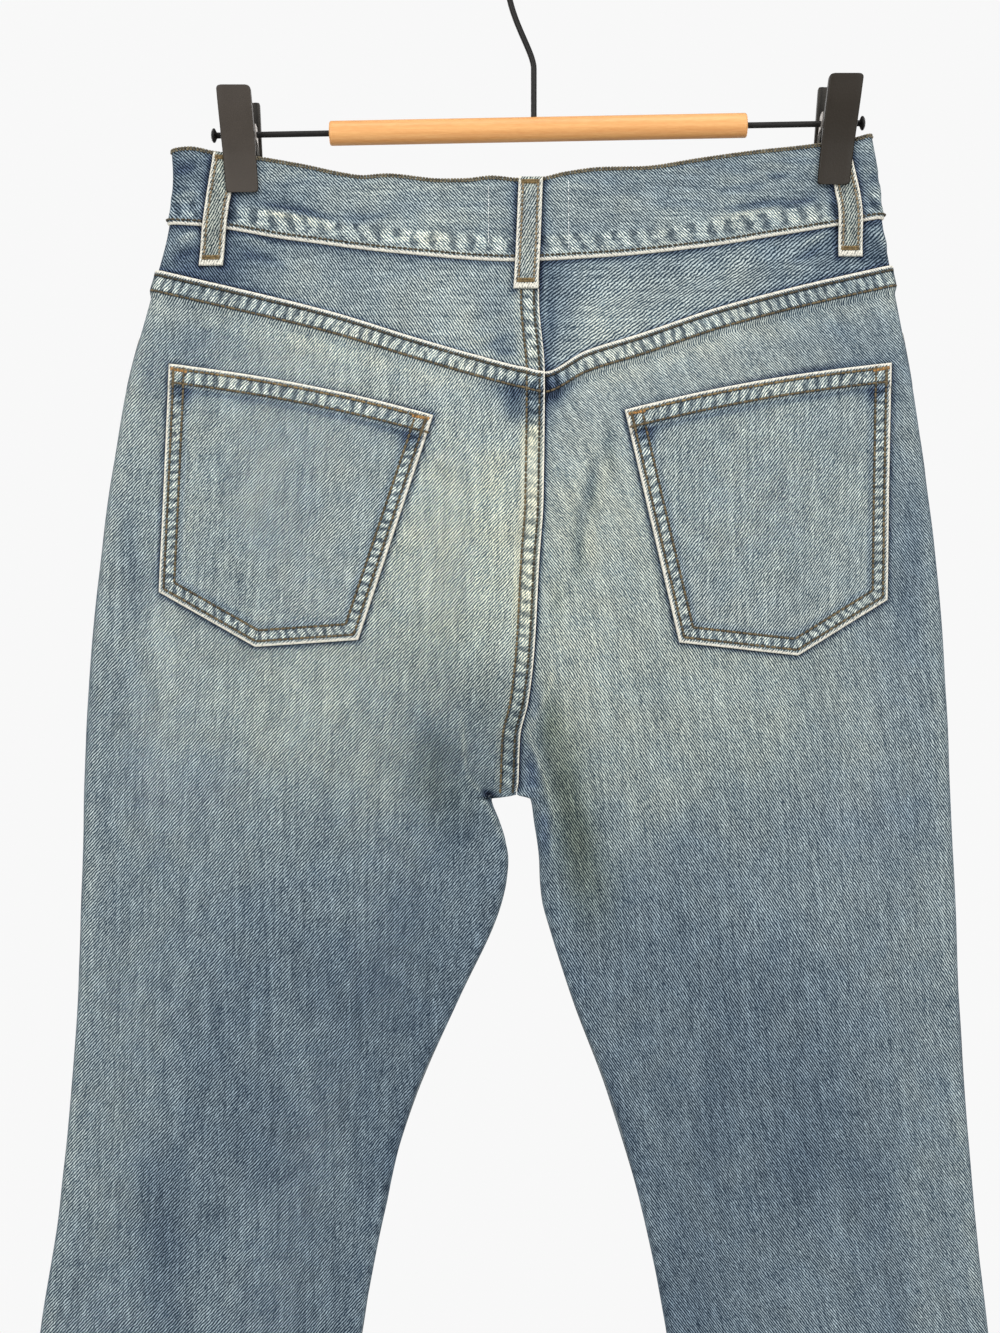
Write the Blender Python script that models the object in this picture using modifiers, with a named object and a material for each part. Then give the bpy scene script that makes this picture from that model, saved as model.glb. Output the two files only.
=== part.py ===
"""Bootcut jeans hanging by the waistband from a wooden clip hanger.

The cloth is one skin, described by its side folds, its seams and its depth at each height. Every sewn
piece is a patch of that skin with a wall of its own thickness, and what lies on a panel is the panel's
own skin moved out. Seen from behind the jeans, X runs to the right, Y runs away and Z is up; the
wearer's left is at -X. The origin is the inside of the hook's top, where a rail carries the hanger.
Tables and sizes are in millimetres, and meshes are made in metres.
"""

import math

import bmesh
import bpy
import numpy as np
from mathutils import Matrix, Vector

MM = 0.001
SEAM_GAP = 0.3  # between two sewn pieces
DENIM = 1.4  # wall of one layer of denim
BAND_WALL = 2.8  # the waistband is two layers and its turnings
BAND_PROUD = 0.5  # how far the waistband stands out of the skin
LOOP_WALL = 1.5
POCKET_WALL = 1.2  # back pockets and facings
HEM_WALL = 2.8  # the hem is turned up twice
HEM_DEEP = 13.0
HEM_Z = -1286.0
LEVEL_Z = -330.0  # rows of a panel are level below this height
CROTCH_Z = -470.0


def table(columns, *rows):
    """The rows as a dictionary of named columns."""
    return dict(zip(columns.split(), np.array(rows, float).T))


# The two side folds, which are also the outseams.
SIDE_FOLD = table(
    "z left right",
    (-100, -205.6, 176.4),
    (-131, -203.9, 182.0),
    (-159, -207.5, 185.5),
    (-192, -216.0, 191.5),
    (-252, -231.5, 202.5),
    (-335, -244.0, 214.0),
    (-417, -251.5, 220.0),
    (-500, -255.0, 223.5),
    (-582, -258.0, 227.0),
    (-692, -267.5, 235.0),
    (-764, -278.0, 242.5),
    (-860, -289.5, 253.0),
    (-960, -301.0, 264.0),
    (-1070, -315.0, 277.5),
    (-1180, -328.0, 290.0),
    (-1286, -337.0, 299.0),
)

# The seat seam, where both halves meet above the crotch, and the two inseams below it.
INNER_SEAM = table(
    "z left right",
    (-100, -4.0, -4.0),
    (-200, -4.8, -4.8),
    (-241, -1.8, -1.8),
    (-309, -2.6, -2.6),
    (-341, -4.8, -4.8),
    (-390, -7.5, -7.5),
    (-417, -10.7, -10.7),
    (-436, -15.0, -15.0),
    (-469, -16.3, -16.3),
    (-471.5, -29.5, -9.0),
    (-483, -25.5, -7.0),
    (-505, -20.5, -3.7),
    (-516, -21.4, -3.2),
    (-527, -23.7, -2.0),
    (-541, -28.6, 1.7),
    (-582, -47.5, 14.5),
    (-637, -72.0, 35.0),
    (-692, -87.5, 51.7),
    (-764, -101.2, 66.0),
    (-860, -115.5, 79.0),
    (-960, -121.0, 84.0),
    (-1070, -119.0, 81.5),
    (-1180, -114.0, 76.0),
    (-1286, -109.0, 71.0),
)

# The centre front stays straighter than the seat seam: how far it lies to the left of it.
FRONT_SHIFT = table("z left", (-100, 8.0), (-240, 10.0), (-390, 6.0), (-462, 0.0), (-1286, 0.0))

# Depth of the skin before and behind the hanger's plane, and the radius of the side folds.
DEPTH = table(
    "z back front fold",
    (-100, 8.0, 7.5, 4.0),
    (-160, 12.0, 11.0, 4.0),
    (-200, 17.0, 15.0, 4.2),
    (-240, 21.0, 19.0, 4.4),
    (-300, 25.0, 22.0, 4.6),
    (-400, 27.0, 24.0, 4.8),
    (-470, 26.0, 24.0, 4.8),
    (-582, 23.0, 22.0, 4.8),
    (-692, 20.0, 20.0, 4.8),
    (-764, 18.5, 18.5, 4.8),
    (-860, 17.5, 17.5, 4.8),
    (-1070, 18.0, 18.0, 4.8),
    (-1286, 20.0, 20.0, 5.0),
)

# Seam lines across the back: top and bottom of the waistband, and the yoke's lower seam.
WAIST_TOP = table(
    "x z",
    (-207, -114.8),
    (-195, -113.6),
    (-182, -116.0),
    (-155, -119.4),
    (-134, -123.4),
    (-110, -128.8),
    (-100, -130.2),
    (-88, -129.4),
    (-56, -132.5),
    (-44, -132.4),
    (-30, -131.0),
    (-15, -132.3),
    (-4, -132.0),
    (10, -128.9),
    (30, -126.2),
    (52, -125.6),
    (84, -120.6),
    (110, -116.6),
    (147, -112.0),
    (168, -108.8),
    (180, -105.3),
)
WAIST_BOTTOM = table(
    "x z",
    (-207, -155.5),
    (-189, -156.5),
    (-134, -165.5),
    (-80, -173.0),
    (-18, -177.8),
    (30, -175.5),
    (84, -169.5),
    (138, -160.0),
    (182, -152.5),
)
YOKE_SEAM = table(
    "x z",
    (-216, -181.5),
    (-168, -193.0),
    (-117, -206.5),
    (-69, -222.0),
    (-15, -237.5),
    (-2, -240.5),
    (21, -229.0),
    (50, -219.5),
    (94, -204.0),
    (148, -189.0),
    (191, -179.0),
)
FRONT_DROP = 4.0  # the front of the waist sags this much more than the back

# Where the clips pinch the waist: centre, and half the thickness of the pinched cloth.
CLIP_X = {"left": -166.5, "right": 157.5}
PINCH_HALF = 3.6
PINCH_WIDE = 27.0
PINCH_FADE = (-195.0, -150.0)  # no pinch below the first height, full above the second

SEAT_FADE = (-395.0, CROTCH_Z)  # the seat's one hollow becomes two legs between these heights
CROTCH_FADE = (-467.0, -472.0)  # and the inner seams close between these

# A panel's columns run from the outseam (0) to its inner seam (1), closer together at the two folds.
MIDDLE = 0.5
COLUMNS = (0, 0.014, 0.05, 0.13, 0.25, 0.37, MIDDLE, 0.63, 0.75, 0.87, 0.95, 0.986, 1)
UPPER_ROWS = (0, 0.18, 0.4, 0.68, 1)
LEVEL_ROWS = (
    *(-365, -400, -435, -458, -467, -469.5, -472, -483, -505, -540, -590, -640, -692, -764),
    *(-860, -960, -1070, -1180, HEM_Z + HEM_DEEP, HEM_Z),
)
# The stretches that a panel is parted in, and the row that each one ends at.
STRETCHES = (("seat", -483), ("thigh", -764), ("leg", HEM_Z))
YOKE_ROWS = 4

SCOOP_SPAN = 92.0  # front pocket mouth: how far it reaches from the outseam along the waistband
SCOOP_DEEP = 62.0  # and how far down the outseam
FACING_FOOT_Z = -250.0
FACING_REACH = 1.25  # the facing runs on behind the front panel, past the mouth's end
SHIELD_WIDE, SHIELD_LONG = 44.0, 150.0  # the shield behind the zip
ZIP_WIDE, ZIP_LONG, ZIP_WALL = 15.0, 132.0, 1.0
UNDERLAP = 0.17  # how far the waistband's end runs on beneath the lap, as a share of the front's width
UNDERLAP_FROM = 0.93  # where it starts to dip, as a place across the right front
BUTTON_ACROSS, BUTTON_DROP = 0.92, 22.0  # the button's place across the left front, and below the top edge

# Corners of the back pockets, anticlockwise from the top left one.
POCKETS = {
    "left": table(
        "x z",
        (-206.3, -233.0),
        (-211.6, -358.0),
        (-158.0, -388.0),
        (-101.7, -384.3),
        (-61.2, -263.2),
    ),
    "right": table(
        "x z",
        (41.8, -260.5),
        (71.0, -385.7),
        (136.0, -392.7),
        (186.2, -362.2),
        (188.9, -232.4),
    ),
}
POCKET_POINT = {"left": 0.5, "right": 0.56}  # where the blunt point stands along the foot
POCKET_BOW = 3.0  # the top edges bow up by this much

# Belt loops: half and face, the strip's middle at its top, at the band's foot and at its end, and its tail.
LOOPS = {
    "belt_loop_centre_back": ("right", "back", (-8.5, -10.4, -11.4), 17.0),
    "belt_loop_left_back": ("left", "back", (-175.5, -181.5, -183.5), 22.0),
    "belt_loop_right_back": ("right", "back", (159.0, 166.5, 166.5), 19.0),
    "belt_loop_left_front": ("left", "front", (-101.0, -102.0, -102.5), 17.0),
    "belt_loop_right_front": ("right", "front", (78.0, 79.0, 79.5), 17.0),
}
LOOP_WIDE = 13.2
LOOP_BOW = 0.3  # how far a loop stands off the band

# The hanger.
RAIL_TILT = math.radians(1.1)
RAIL_CENTRE = (-4.3, -103.2)
BAR_LONG, BAR_R = 229.5, 6.7
ROD_LONG, ROD_R = 360.0, 1.65
CAP_R, CAP_LONG = 3.9, 3.2
WIRE_R = 1.65
HOOK_R = 21.5
STEM_X = -6.7
STEM_TOP_Z = -70.0
HOOK_FROM, HOOK_TO = math.radians(184), math.radians(-20)
NECK_BEND = (-20.3, -43.0)  # the swan neck leans this way between the stem and the round
BORE_CLEAR = 0.35
EAR_CLEAR = 1.3  # the clips lean on the rod, so their bores are loose

# The clips: side view of the jaw behind the jeans, as middle of its plate, from handle to tip.
JAW = table(
    "y z wide",
    (-15.6, 22.5, 18.6),
    (-14.4, 12.0, 18.5),
    (-10.6, 2.0, 18.4),
    (-8.5, -6.0, 18.3),
    (-7.7, -14.0, 18.1),
    (-7.6, -26.0, 17.9),
    (-8.0, -35.5, 17.7),
)
JAW_WALL = 1.5
EAR_X = {"back": 7.6, "front": 5.4}  # the front jaw's ears stand inside the back jaw's
EAR_WALL = 1.4
EAR_Y = (-3.2, 11.2)  # from the far side of the rod to the plate, for the jaw at +Y
EAR_Z = (-5.0, 4.2)
PAD = ((-7.5, 4.9, -34.0), (7.5, 7.6, -16.0))  # the front jaw's pad, which takes up the thinner cloth there
CLIP_LEAN = {"left": math.radians(-5.0), "right": math.radians(6.5)}
CLIP_OFFSET = {"left": -2.1, "right": 3.1}  # how far the rod's end of a clip is from where it pinches

COLOURS = {
    # name: colour, roughness, metallic
    "denim": ((0.20, 0.29, 0.40), 0.9, 0.0),
    "denim_dark": ((0.13, 0.20, 0.30), 0.9, 0.0),
    "zip_tape": ((0.12, 0.13, 0.16), 0.8, 0.0),
    "wood": ((0.78, 0.50, 0.27), 0.5, 0.0),
    "dark_metal": ((0.05, 0.045, 0.04), 0.35, 1.0),
    "clip_metal": ((0.12, 0.105, 0.09), 0.5, 1.0),
    "button_metal": ((0.42, 0.30, 0.20), 0.4, 1.0),
}


# ---------------------------------------------------------------- the skin


def follow(source, key, column, at):
    """The column's value at each value of the key, on a smooth curve that never overshoots a row."""
    order = np.argsort(source[key])
    x, y = source[key][order], source[column][order]
    step = np.diff(x)
    rise = np.diff(y) / step
    slope = np.zeros_like(y)
    same_way = rise[:-1] * rise[1:] > 0
    inner = slope[1:-1]
    inner[same_way] = 2 * rise[:-1][same_way] * rise[1:][same_way] / (rise[:-1] + rise[1:])[same_way]
    slope[0], slope[-1] = rise[0], rise[-1]
    at = np.clip(np.asarray(at, float), x[0], x[-1])
    i = np.clip(np.searchsorted(x, at) - 1, 0, len(step) - 1)
    t = (at - x[i]) / step[i]
    value = y[i] * (1 + 2 * t) * (1 - t) ** 2 + y[i + 1] * t * t * (3 - 2 * t)
    return value + step[i] * (slope[i] * t * (1 - t) ** 2 - slope[i + 1] * t * t * (1 - t))


def ease(start, end, at):
    """0 at start, 1 at end, with a smooth step between."""
    t = np.clip((np.asarray(at, float) - start) / (end - start), 0, 1)
    return t * t * (3 - 2 * t)


def from_fold(travel, radius):
    """How far inwards of a fold the cloth is, after going this far along it."""
    turned = np.clip(travel / radius, 0, math.pi / 2)
    return np.where(
        travel < radius * math.pi / 2,
        radius * (1 - np.cos(turned)),
        travel - radius * (math.pi / 2 - 1),
    )


def swell(inwards, half_width, depth, radius, turned=1.0):
    """Depth of the cloth at a distance inwards of its fold: the two sides of a lens with round folds.

    turned is 1 where the cloth turns round the fold, and 0 where it ends at a seam a fold's radius deep.
    """
    near = np.clip(inwards, 0, radius)
    fold = radius + turned * (np.sqrt(np.clip(2 * radius * near - near**2, 0, None)) - radius)
    belly = depth * np.sin(np.clip(inwards / half_width, 0, 1) * math.pi / 2)
    return (fold**4 + belly**4) ** 0.25


def skin(half, face, across, z):
    """Points of the outer skin: across is 0 at the outseam and 1 at the inner seam."""
    across, z = np.broadcast_arrays(np.asarray(across, float), np.asarray(z, float))
    outer = follow(SIDE_FOLD, "z", half, z)
    inner = follow(INNER_SEAM, "z", half, z) + SEAM_GAP * (-0.7 if half == "left" else 0.7)
    if face == "front":
        inner = inner - follow(FRONT_SHIFT, "z", "left", z)
    depth = follow(DEPTH, "z", face, z)
    radius = follow(DEPTH, "z", "fold", z)
    spare = radius * (math.pi / 2 - 1)
    width = np.abs(inner - outer)

    # The seat: one swell from the outseam to the middle seam.
    seat_in = from_fold(across * (width + spare), radius)
    seat_y = swell(seat_in, width, depth, radius)
    # The leg: deepest half way, with a fold at the outseam and one at the inseam once that has closed.
    closed = ease(*CROTCH_FADE, z)
    length = width + spare * (1 + closed)
    to_inseam = (1 - across) * length
    from_inseam = to_inseam + closed * (from_fold(to_inseam, radius) - to_inseam)
    from_outseam = from_fold(across * length, radius)
    nearer = across * length - spare < width / 2
    leg_in = np.where(nearer, from_outseam, width - from_inseam)
    leg_y = np.where(
        nearer,
        swell(from_outseam, width / 2, depth, radius),
        swell(from_inseam, width / 2, depth, radius, closed),
    )

    leg = ease(*SEAT_FADE, z)
    x = outer + np.sign(inner - outer) * ((1 - leg) * seat_in + leg * leg_in)
    y = (1 - leg) * seat_y + leg * leg_y
    for clip_x in CLIP_X.values():
        pinch = np.exp(-(((x - clip_x) / PINCH_WIDE) ** 4)) * ease(*PINCH_FADE, z)
        y = y + (np.minimum(y, PINCH_HALF) - y) * pinch
    return np.stack([x, y if face == "front" else -y, z], -1)


def outwards(half, face, across, z):
    """Unit normals of the skin, pointing out of the jeans."""
    step_across, step_z = 0.002, 0.5
    along = skin(half, face, np.clip(across + step_across, 0, 1), z)
    along = along - skin(half, face, np.clip(across - step_across, 0, 1), z)
    down = skin(half, face, across, np.asarray(z) + step_z) - skin(half, face, across, np.asarray(z) - step_z)
    normal = np.cross(along, down)
    normal /= np.linalg.norm(normal, axis=-1, keepdims=True)
    turned = (half == "left") == (face == "back")
    return normal if turned else -normal


def across_at(half, face, x, z):
    """The place across the skin that has this x, found by halving."""
    x, z = np.broadcast_arrays(np.asarray(x, float), np.asarray(z, float))
    low, high = np.zeros(x.shape), np.ones(x.shape)
    rising = half == "left"
    for _ in range(24):
        middle = (low + high) / 2
        short = (skin(half, face, middle, z)[..., 0] < x) == rising
        low, high = np.where(short, middle, low), np.where(short, high, middle)
    return (low + high) / 2


def seam_z(line, half, face, across):
    """Height of a seam line at each place across: x depends a little on the height, so it is solved."""
    z = np.full(np.shape(across), line["z"].mean())
    for _ in range(6):
        z = follow(line, "x", "z", skin(half, face, across, z)[..., 0])
    if face == "front":
        z = z - FRONT_DROP * ease(0.1, 0.6, across)
    return z


# ---------------------------------------------------------------- meshes


def new_object(name, mesh, colour, parent=None):
    mesh.materials.append(materials[colour])
    thing = bpy.data.objects.new(name, mesh)
    jeans.objects.link(thing)
    thing.parent = parent
    return thing


def wall(name, outer, inner, colour):
    """A closed piece of cloth between two skins of points, each an array of rows, columns and x y z."""
    rows, columns = outer.shape[:2]
    half = rows * columns
    points = np.concatenate([outer.reshape(-1, 3), inner.reshape(-1, 3)]) * MM
    at = np.arange(half).reshape(rows, columns)
    quads = np.stack([at[:-1, :-1], at[1:, :-1], at[1:, 1:], at[:-1, 1:]], -1).reshape(-1, 4)
    rim = np.concatenate([at[0, :], at[1:, -1], at[-1, -2::-1], at[-2:0:-1, 0]])
    after = np.roll(rim, -1)
    edge = np.stack([rim, after, after + half, rim + half], -1)
    faces = np.concatenate([quads, quads[:, ::-1] + half, edge])
    mesh = bpy.data.meshes.new(name)
    mesh.from_pydata(points.tolist(), [], faces.tolist())
    shaped = bmesh.new()
    shaped.from_mesh(mesh)
    bmesh.ops.recalc_face_normals(shaped, faces=shaped.faces)
    shaped.to_mesh(mesh)
    shaped.free()
    return new_object(name, mesh, colour)


def patch(half, face, across, z, out, deep):
    """Outer and inner skins of a patch: out lifts it off the body's skin, deep is its wall."""
    points = skin(half, face, across, z)
    normals = outwards(half, face, across, z)
    out, deep = (np.broadcast_to(a, z.shape)[..., None] for a in (out, deep))
    return points + normals * out, points + normals * (out - deep)


def trimmed(half, across, z):
    """Moves the first and last columns in by a little over half a seam gap."""
    length = np.abs(follow(SIDE_FOLD, "z", half, z) - follow(INNER_SEAM, "z", half, z))
    pull = 0.7 * SEAM_GAP / length
    return np.clip(across, pull, 1 - pull)


# ---------------------------------------------------------------- the sewn pieces


def panel(name, half, face, columns, top):
    """A panel from its top seam to the hem. Its rows follow the top seam at first and are level lower down.

    It is parted along the grain down its middle, and across below the crotch and at the knee, so that each
    of its pieces is a plain shallow shell.
    """
    upper = top[None, :] + (LEVEL_Z - top[None, :]) * np.array(UPPER_ROWS)[:, None]
    level = np.repeat(np.array(LEVEL_ROWS, float)[:, None], len(columns), 1)
    z = np.concatenate([upper, level])
    deep = np.where(z < HEM_Z + HEM_DEEP - 1, HEM_WALL, DENIM)
    across = trimmed(half, np.broadcast_to(columns, z.shape), z)
    width = np.abs(follow(SIDE_FOLD, "z", half, z) - follow(INNER_SEAM, "z", half, z))
    middle = int(np.searchsorted(columns, MIDDLE))
    first = 0
    for stretch, foot in STRETCHES:
        last = len(UPPER_ROWS) + LEVEL_ROWS.index(foot)
        for strip, part, away in (("side", slice(0, middle + 1), -1), ("inner", slice(middle, None), 1)):
            places, heights = across.copy(), z.copy()
            places[:, middle] += away * SEAM_GAP / 2 / width[:, middle]
            heights[first] -= SEAM_GAP / 2 if first else 0
            heights[last] += SEAM_GAP / 2 if foot != HEM_Z else 0
            piece = (slice(first, last + 1), part)
            skins = patch(half, face, places[piece], heights[piece], 0, deep[piece])
            wall(f"{name}_{stretch}_{strip}", *skins, "denim")
        first = last


def back_panel(half):
    columns = np.array(COLUMNS)
    top = seam_z(YOKE_SEAM, half, "back", columns) - SEAM_GAP / 2
    panel(f"back_{half}", half, "back", columns, top)


def yoke(half):
    columns = np.array(COLUMNS)
    top = seam_z(WAIST_BOTTOM, half, "back", columns) - SEAM_GAP / 2
    foot = seam_z(YOKE_SEAM, half, "back", columns) + SEAM_GAP / 2
    z = top + (foot - top) * np.linspace(0, 1, YOKE_ROWS)[:, None]
    across = trimmed(half, np.broadcast_to(columns, z.shape), z)
    wall(f"yoke_{half}", *patch(half, "back", across, z, 0, DENIM), "denim")


def scoop_reach(half):
    """Where the pocket mouth meets the waistband, as a place across the front."""
    band_foot = WAIST_BOTTOM["z"].mean()
    width = abs(follow(SIDE_FOLD, "z", half, band_foot) - follow(INNER_SEAM, "z", half, band_foot))
    return SCOOP_SPAN / width


def mouth_columns(half):
    """Columns from the outseam to the pocket mouth's end, evenly spaced round the mouth's curve."""
    return np.sin(np.radians((0, 3, 7, 14, 26, 42, 58, 73, 90))) * scoop_reach(half)


def front_panel(half):
    """The front's top edge is the waistband's seam as far as the pocket mouth, then the mouth's curve."""
    reach = scoop_reach(half)
    beyond = [column for column in COLUMNS if column >= MIDDLE]
    columns = np.concatenate([mouth_columns(half), beyond])
    drop = SCOOP_DEEP * np.sqrt(np.clip(1 - (columns / reach) ** 2, 0, None))
    top = seam_z(WAIST_BOTTOM, half, "front", columns) - SEAM_GAP / 2 - drop
    panel(f"front_{half}", half, "front", columns, top)


def pocket_facing(half):
    """The piece of denim that shows behind the pocket mouth."""
    columns = np.append(mouth_columns(half), scoop_reach(half) * FACING_REACH)
    top = seam_z(WAIST_BOTTOM, half, "front", columns) - SEAM_GAP
    z = top + (FACING_FOOT_Z - top) * np.linspace(0, 1, YOKE_ROWS)[:, None]
    across = trimmed(half, np.broadcast_to(columns, z.shape), z)
    skins = patch(half, "front", across, z, -DENIM - SEAM_GAP, POCKET_WALL)
    wall(f"pocket_facing_{half}", *skins, "denim_dark")


def waistband():
    """One strip from the lapped end at the centre front, round the wearer's left, back and right, to the end
    beneath the lap.
    """
    columns = np.array(COLUMNS)
    under = BAND_WALL + SEAM_GAP
    # Each stretch: half, face, places across, how far the strip sinks there.
    stretches = (
        ("left", "front", columns[::-1], np.zeros(len(columns))),
        ("left", "back", columns[1:], np.zeros(len(columns) - 1)),
        ("right", "back", columns[-2::-1], np.zeros(len(columns) - 1)),
        ("right", "front", columns[1:-1], np.where(columns[1:-1] > UNDERLAP_FROM, under, 0.0)),
        ("left", "front", np.array((0.99, 1 - UNDERLAP / 2, 1 - UNDERLAP)), np.full(3, under)),
    )
    skins = ([], [])
    for half, face, across, sink in stretches:
        top = seam_z(WAIST_TOP, half, face, across)
        foot = seam_z(WAIST_BOTTOM, half, face, across) + SEAM_GAP / 2
        z = top + (foot - top) * np.linspace(0, 1, YOKE_ROWS)[:, None]
        grid = np.broadcast_to(across, z.shape)
        for side, points in zip(skins, patch(half, face, grid, z, BAND_PROUD - sink, BAND_WALL)):
            side.append(points)
    wall("waistband", *(np.concatenate(side, 1) for side in skins), "denim")


def fly():
    """The closed zip behind the centre front, and the shield behind the zip."""
    layers = (
        ("fly_zip", ZIP_WIDE, ZIP_LONG, DENIM + SEAM_GAP, ZIP_WALL, "zip_tape"),
        ("fly_shield", SHIELD_WIDE, SHIELD_LONG, DENIM + ZIP_WALL + 2 * SEAM_GAP, POCKET_WALL, "denim_dark"),
    )
    top_of_fly = WAIST_BOTTOM["z"].min()
    width = abs(follow(SIDE_FOLD, "z", "left", top_of_fly) - follow(INNER_SEAM, "z", "left", top_of_fly))
    for name, wide, long, sink, deep, colour in layers:
        columns = 1 - np.linspace(0.012, wide / width, 4)
        top = seam_z(WAIST_BOTTOM, "left", "front", columns) - SEAM_GAP
        z = top - long * np.linspace(0, 1, 6)[:, None]
        across = np.broadcast_to(columns, z.shape)
        wall(name, *patch("left", "front", across, z, -sink, deep), colour)


def back_pocket(half):
    """A patch with a bowed top edge, leaning sides and a blunt point."""
    corner = POCKETS[half]
    corners = np.stack([corner["x"], corner["z"]], -1)
    top_left, foot_left, point, foot_right, top_right = corners
    share = POCKET_POINT[half]
    u = np.array((0, 0.14, 0.32, share, 0.68, 0.86, 1))
    top = top_left + (top_right - top_left) * u[:, None]
    top[:, 1] += POCKET_BOW * (1 - (2 * u - 1) ** 2)
    left_part = foot_left + (point - foot_left) * np.minimum(u / share, 1)[:, None]
    right_part = point + (foot_right - point) * np.maximum((u - share) / (1 - share), 0)[:, None]
    foot = np.where((u < share)[:, None], left_part, right_part)
    grid = top + (foot - top) * np.linspace(0, 1, 8)[:, None, None]
    across = across_at(half, "back", grid[..., 0], grid[..., 1])
    skins = patch(half, "back", across, grid[..., 1], SEAM_GAP + POCKET_WALL, POCKET_WALL)
    wall(f"back_pocket_{half}", *skins, "denim")


def belt_loop(name, half, face, middles, tail):
    """A flat strip over the waistband, ending on the yoke or front below it."""
    top_z = float(follow(WAIST_TOP, "x", "z", middles[0])) - 0.5
    band_z = float(follow(WAIST_BOTTOM, "x", "z", middles[1]))
    if face == "front":
        top_z, band_z = top_z - FRONT_DROP, band_z - FRONT_DROP
    z = np.concatenate([np.linspace(top_z, band_z, 5), band_z - tail * np.array((0.12, 0.3, 0.65, 1))])
    middle = follow(dict(z=np.array((top_z, band_z, band_z - tail)), x=np.array(middles)), "z", "x", z)
    x = middle[:, None] + LOOP_WIDE * np.array((-0.5, 0, 0.5))
    on_band = BAND_PROUD + SEAM_GAP + LOOP_WALL
    lift = np.where(z >= band_z - 0.15 * tail, on_band + LOOP_BOW, 2 * SEAM_GAP + LOOP_WALL)
    grid_z = np.repeat(z[:, None], 3, 1)
    outer, inner = np.empty((*x.shape, 3)), np.empty((*x.shape, 3))
    for column in range(3):
        # Each column is found on the half that it lies on, so that a strip may cross the middle seam.
        middle_seam = follow(INNER_SEAM, "z", "left", z)
        for row in range(len(z)):
            place = "left" if x[row, column] < middle_seam[row] and face == "back" else half
            across = across_at(place, face, x[row, column], grid_z[row, column])
            skins = patch(place, face, across, np.asarray(grid_z[row, column]), lift[row], LOOP_WALL)
            outer[row, column], inner[row, column] = skins
    wall(name, outer, inner, "denim")


def waist_button():
    """A shank button: a turned head over the lapped end of the waistband."""
    height = seam_z(WAIST_TOP, "left", "front", np.array(BUTTON_ACROSS)) - BUTTON_DROP
    place = skin("left", "front", BUTTON_ACROSS, height)
    profile = ((0, 3.6), (5.2, 3.6), (7.4, 3.2), (8.4, 2.2), (8.2, 1.4), (3.4, 1.0), (3.0, 0), (0, 0))
    head = turned("waist_button", profile, "button_metal", 24)
    head.location = (place[0] * MM, (place[1] + BAND_PROUD + SEAM_GAP) * MM, place[2] * MM)
    head.rotation_euler = (math.radians(-90), 0, 0)


# ---------------------------------------------------------------- the hanger


def turned(name, profile, colour, steps, parent=None):
    """A solid turned about its own Z axis. The profile runs down its outer side, from radius and height."""
    mesh = bpy.data.meshes.new(name)
    points = [(radius * MM, 0, height * MM) for radius, height in profile]
    closed = profile[0][0] > 0
    edges = [(i, i + 1) for i in range(len(points) - 1)] + ([(len(points) - 1, 0)] if closed else [])
    mesh.from_pydata(points, edges, [])
    thing = new_object(name, mesh, colour, parent)
    screw = thing.modifiers.new("turn", "SCREW")
    screw.steps = screw.render_steps = steps
    screw.use_merge_vertices = True
    screw.merge_threshold = 1e-6
    return thing


def cut(thing, cutter, operation="DIFFERENCE"):
    modifier = thing.modifiers.new(operation.lower(), "BOOLEAN")
    modifier.operation = operation
    modifier.object = cutter
    cutter.hide_render = True
    cutter.display_type = "WIRE"


def helper(name, mesh, parent=None):
    """A cutter or an added lump that a Boolean uses."""
    thing = bpy.data.objects.new(name, mesh)
    cutters.objects.link(thing)
    thing.parent = parent
    return thing


def block(name, low, high, parent=None):
    mesh = bpy.data.meshes.new(name)
    shaped = bmesh.new()
    bmesh.ops.create_cube(shaped, size=1.0)
    size, middle = (Vector(high) - Vector(low)) * MM, (Vector(high) + Vector(low)) / 2 * MM
    bmesh.ops.scale(shaped, vec=size, verts=shaped.verts)
    bmesh.ops.translate(shaped, vec=middle, verts=shaped.verts)
    shaped.to_mesh(mesh)
    shaped.free()
    return helper(name, mesh, parent)


def pin(name, radius, long, direction, middle, parent=None):
    """A cylinder along X or Z, for boring a hole."""
    mesh = bpy.data.meshes.new(name)
    shaped = bmesh.new()
    bmesh.ops.create_cone(
        shaped, cap_ends=True, segments=24, radius1=radius * MM, radius2=radius * MM, depth=long * MM
    )
    if direction == "X":
        bmesh.ops.rotate(shaped, verts=shaped.verts, matrix=Matrix.Rotation(math.pi / 2, 3, "Y"))
    bmesh.ops.translate(shaped, vec=Vector(middle) * MM, verts=shaped.verts)
    shaped.to_mesh(mesh)
    shaped.free()
    return helper(name, mesh, parent)


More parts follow.
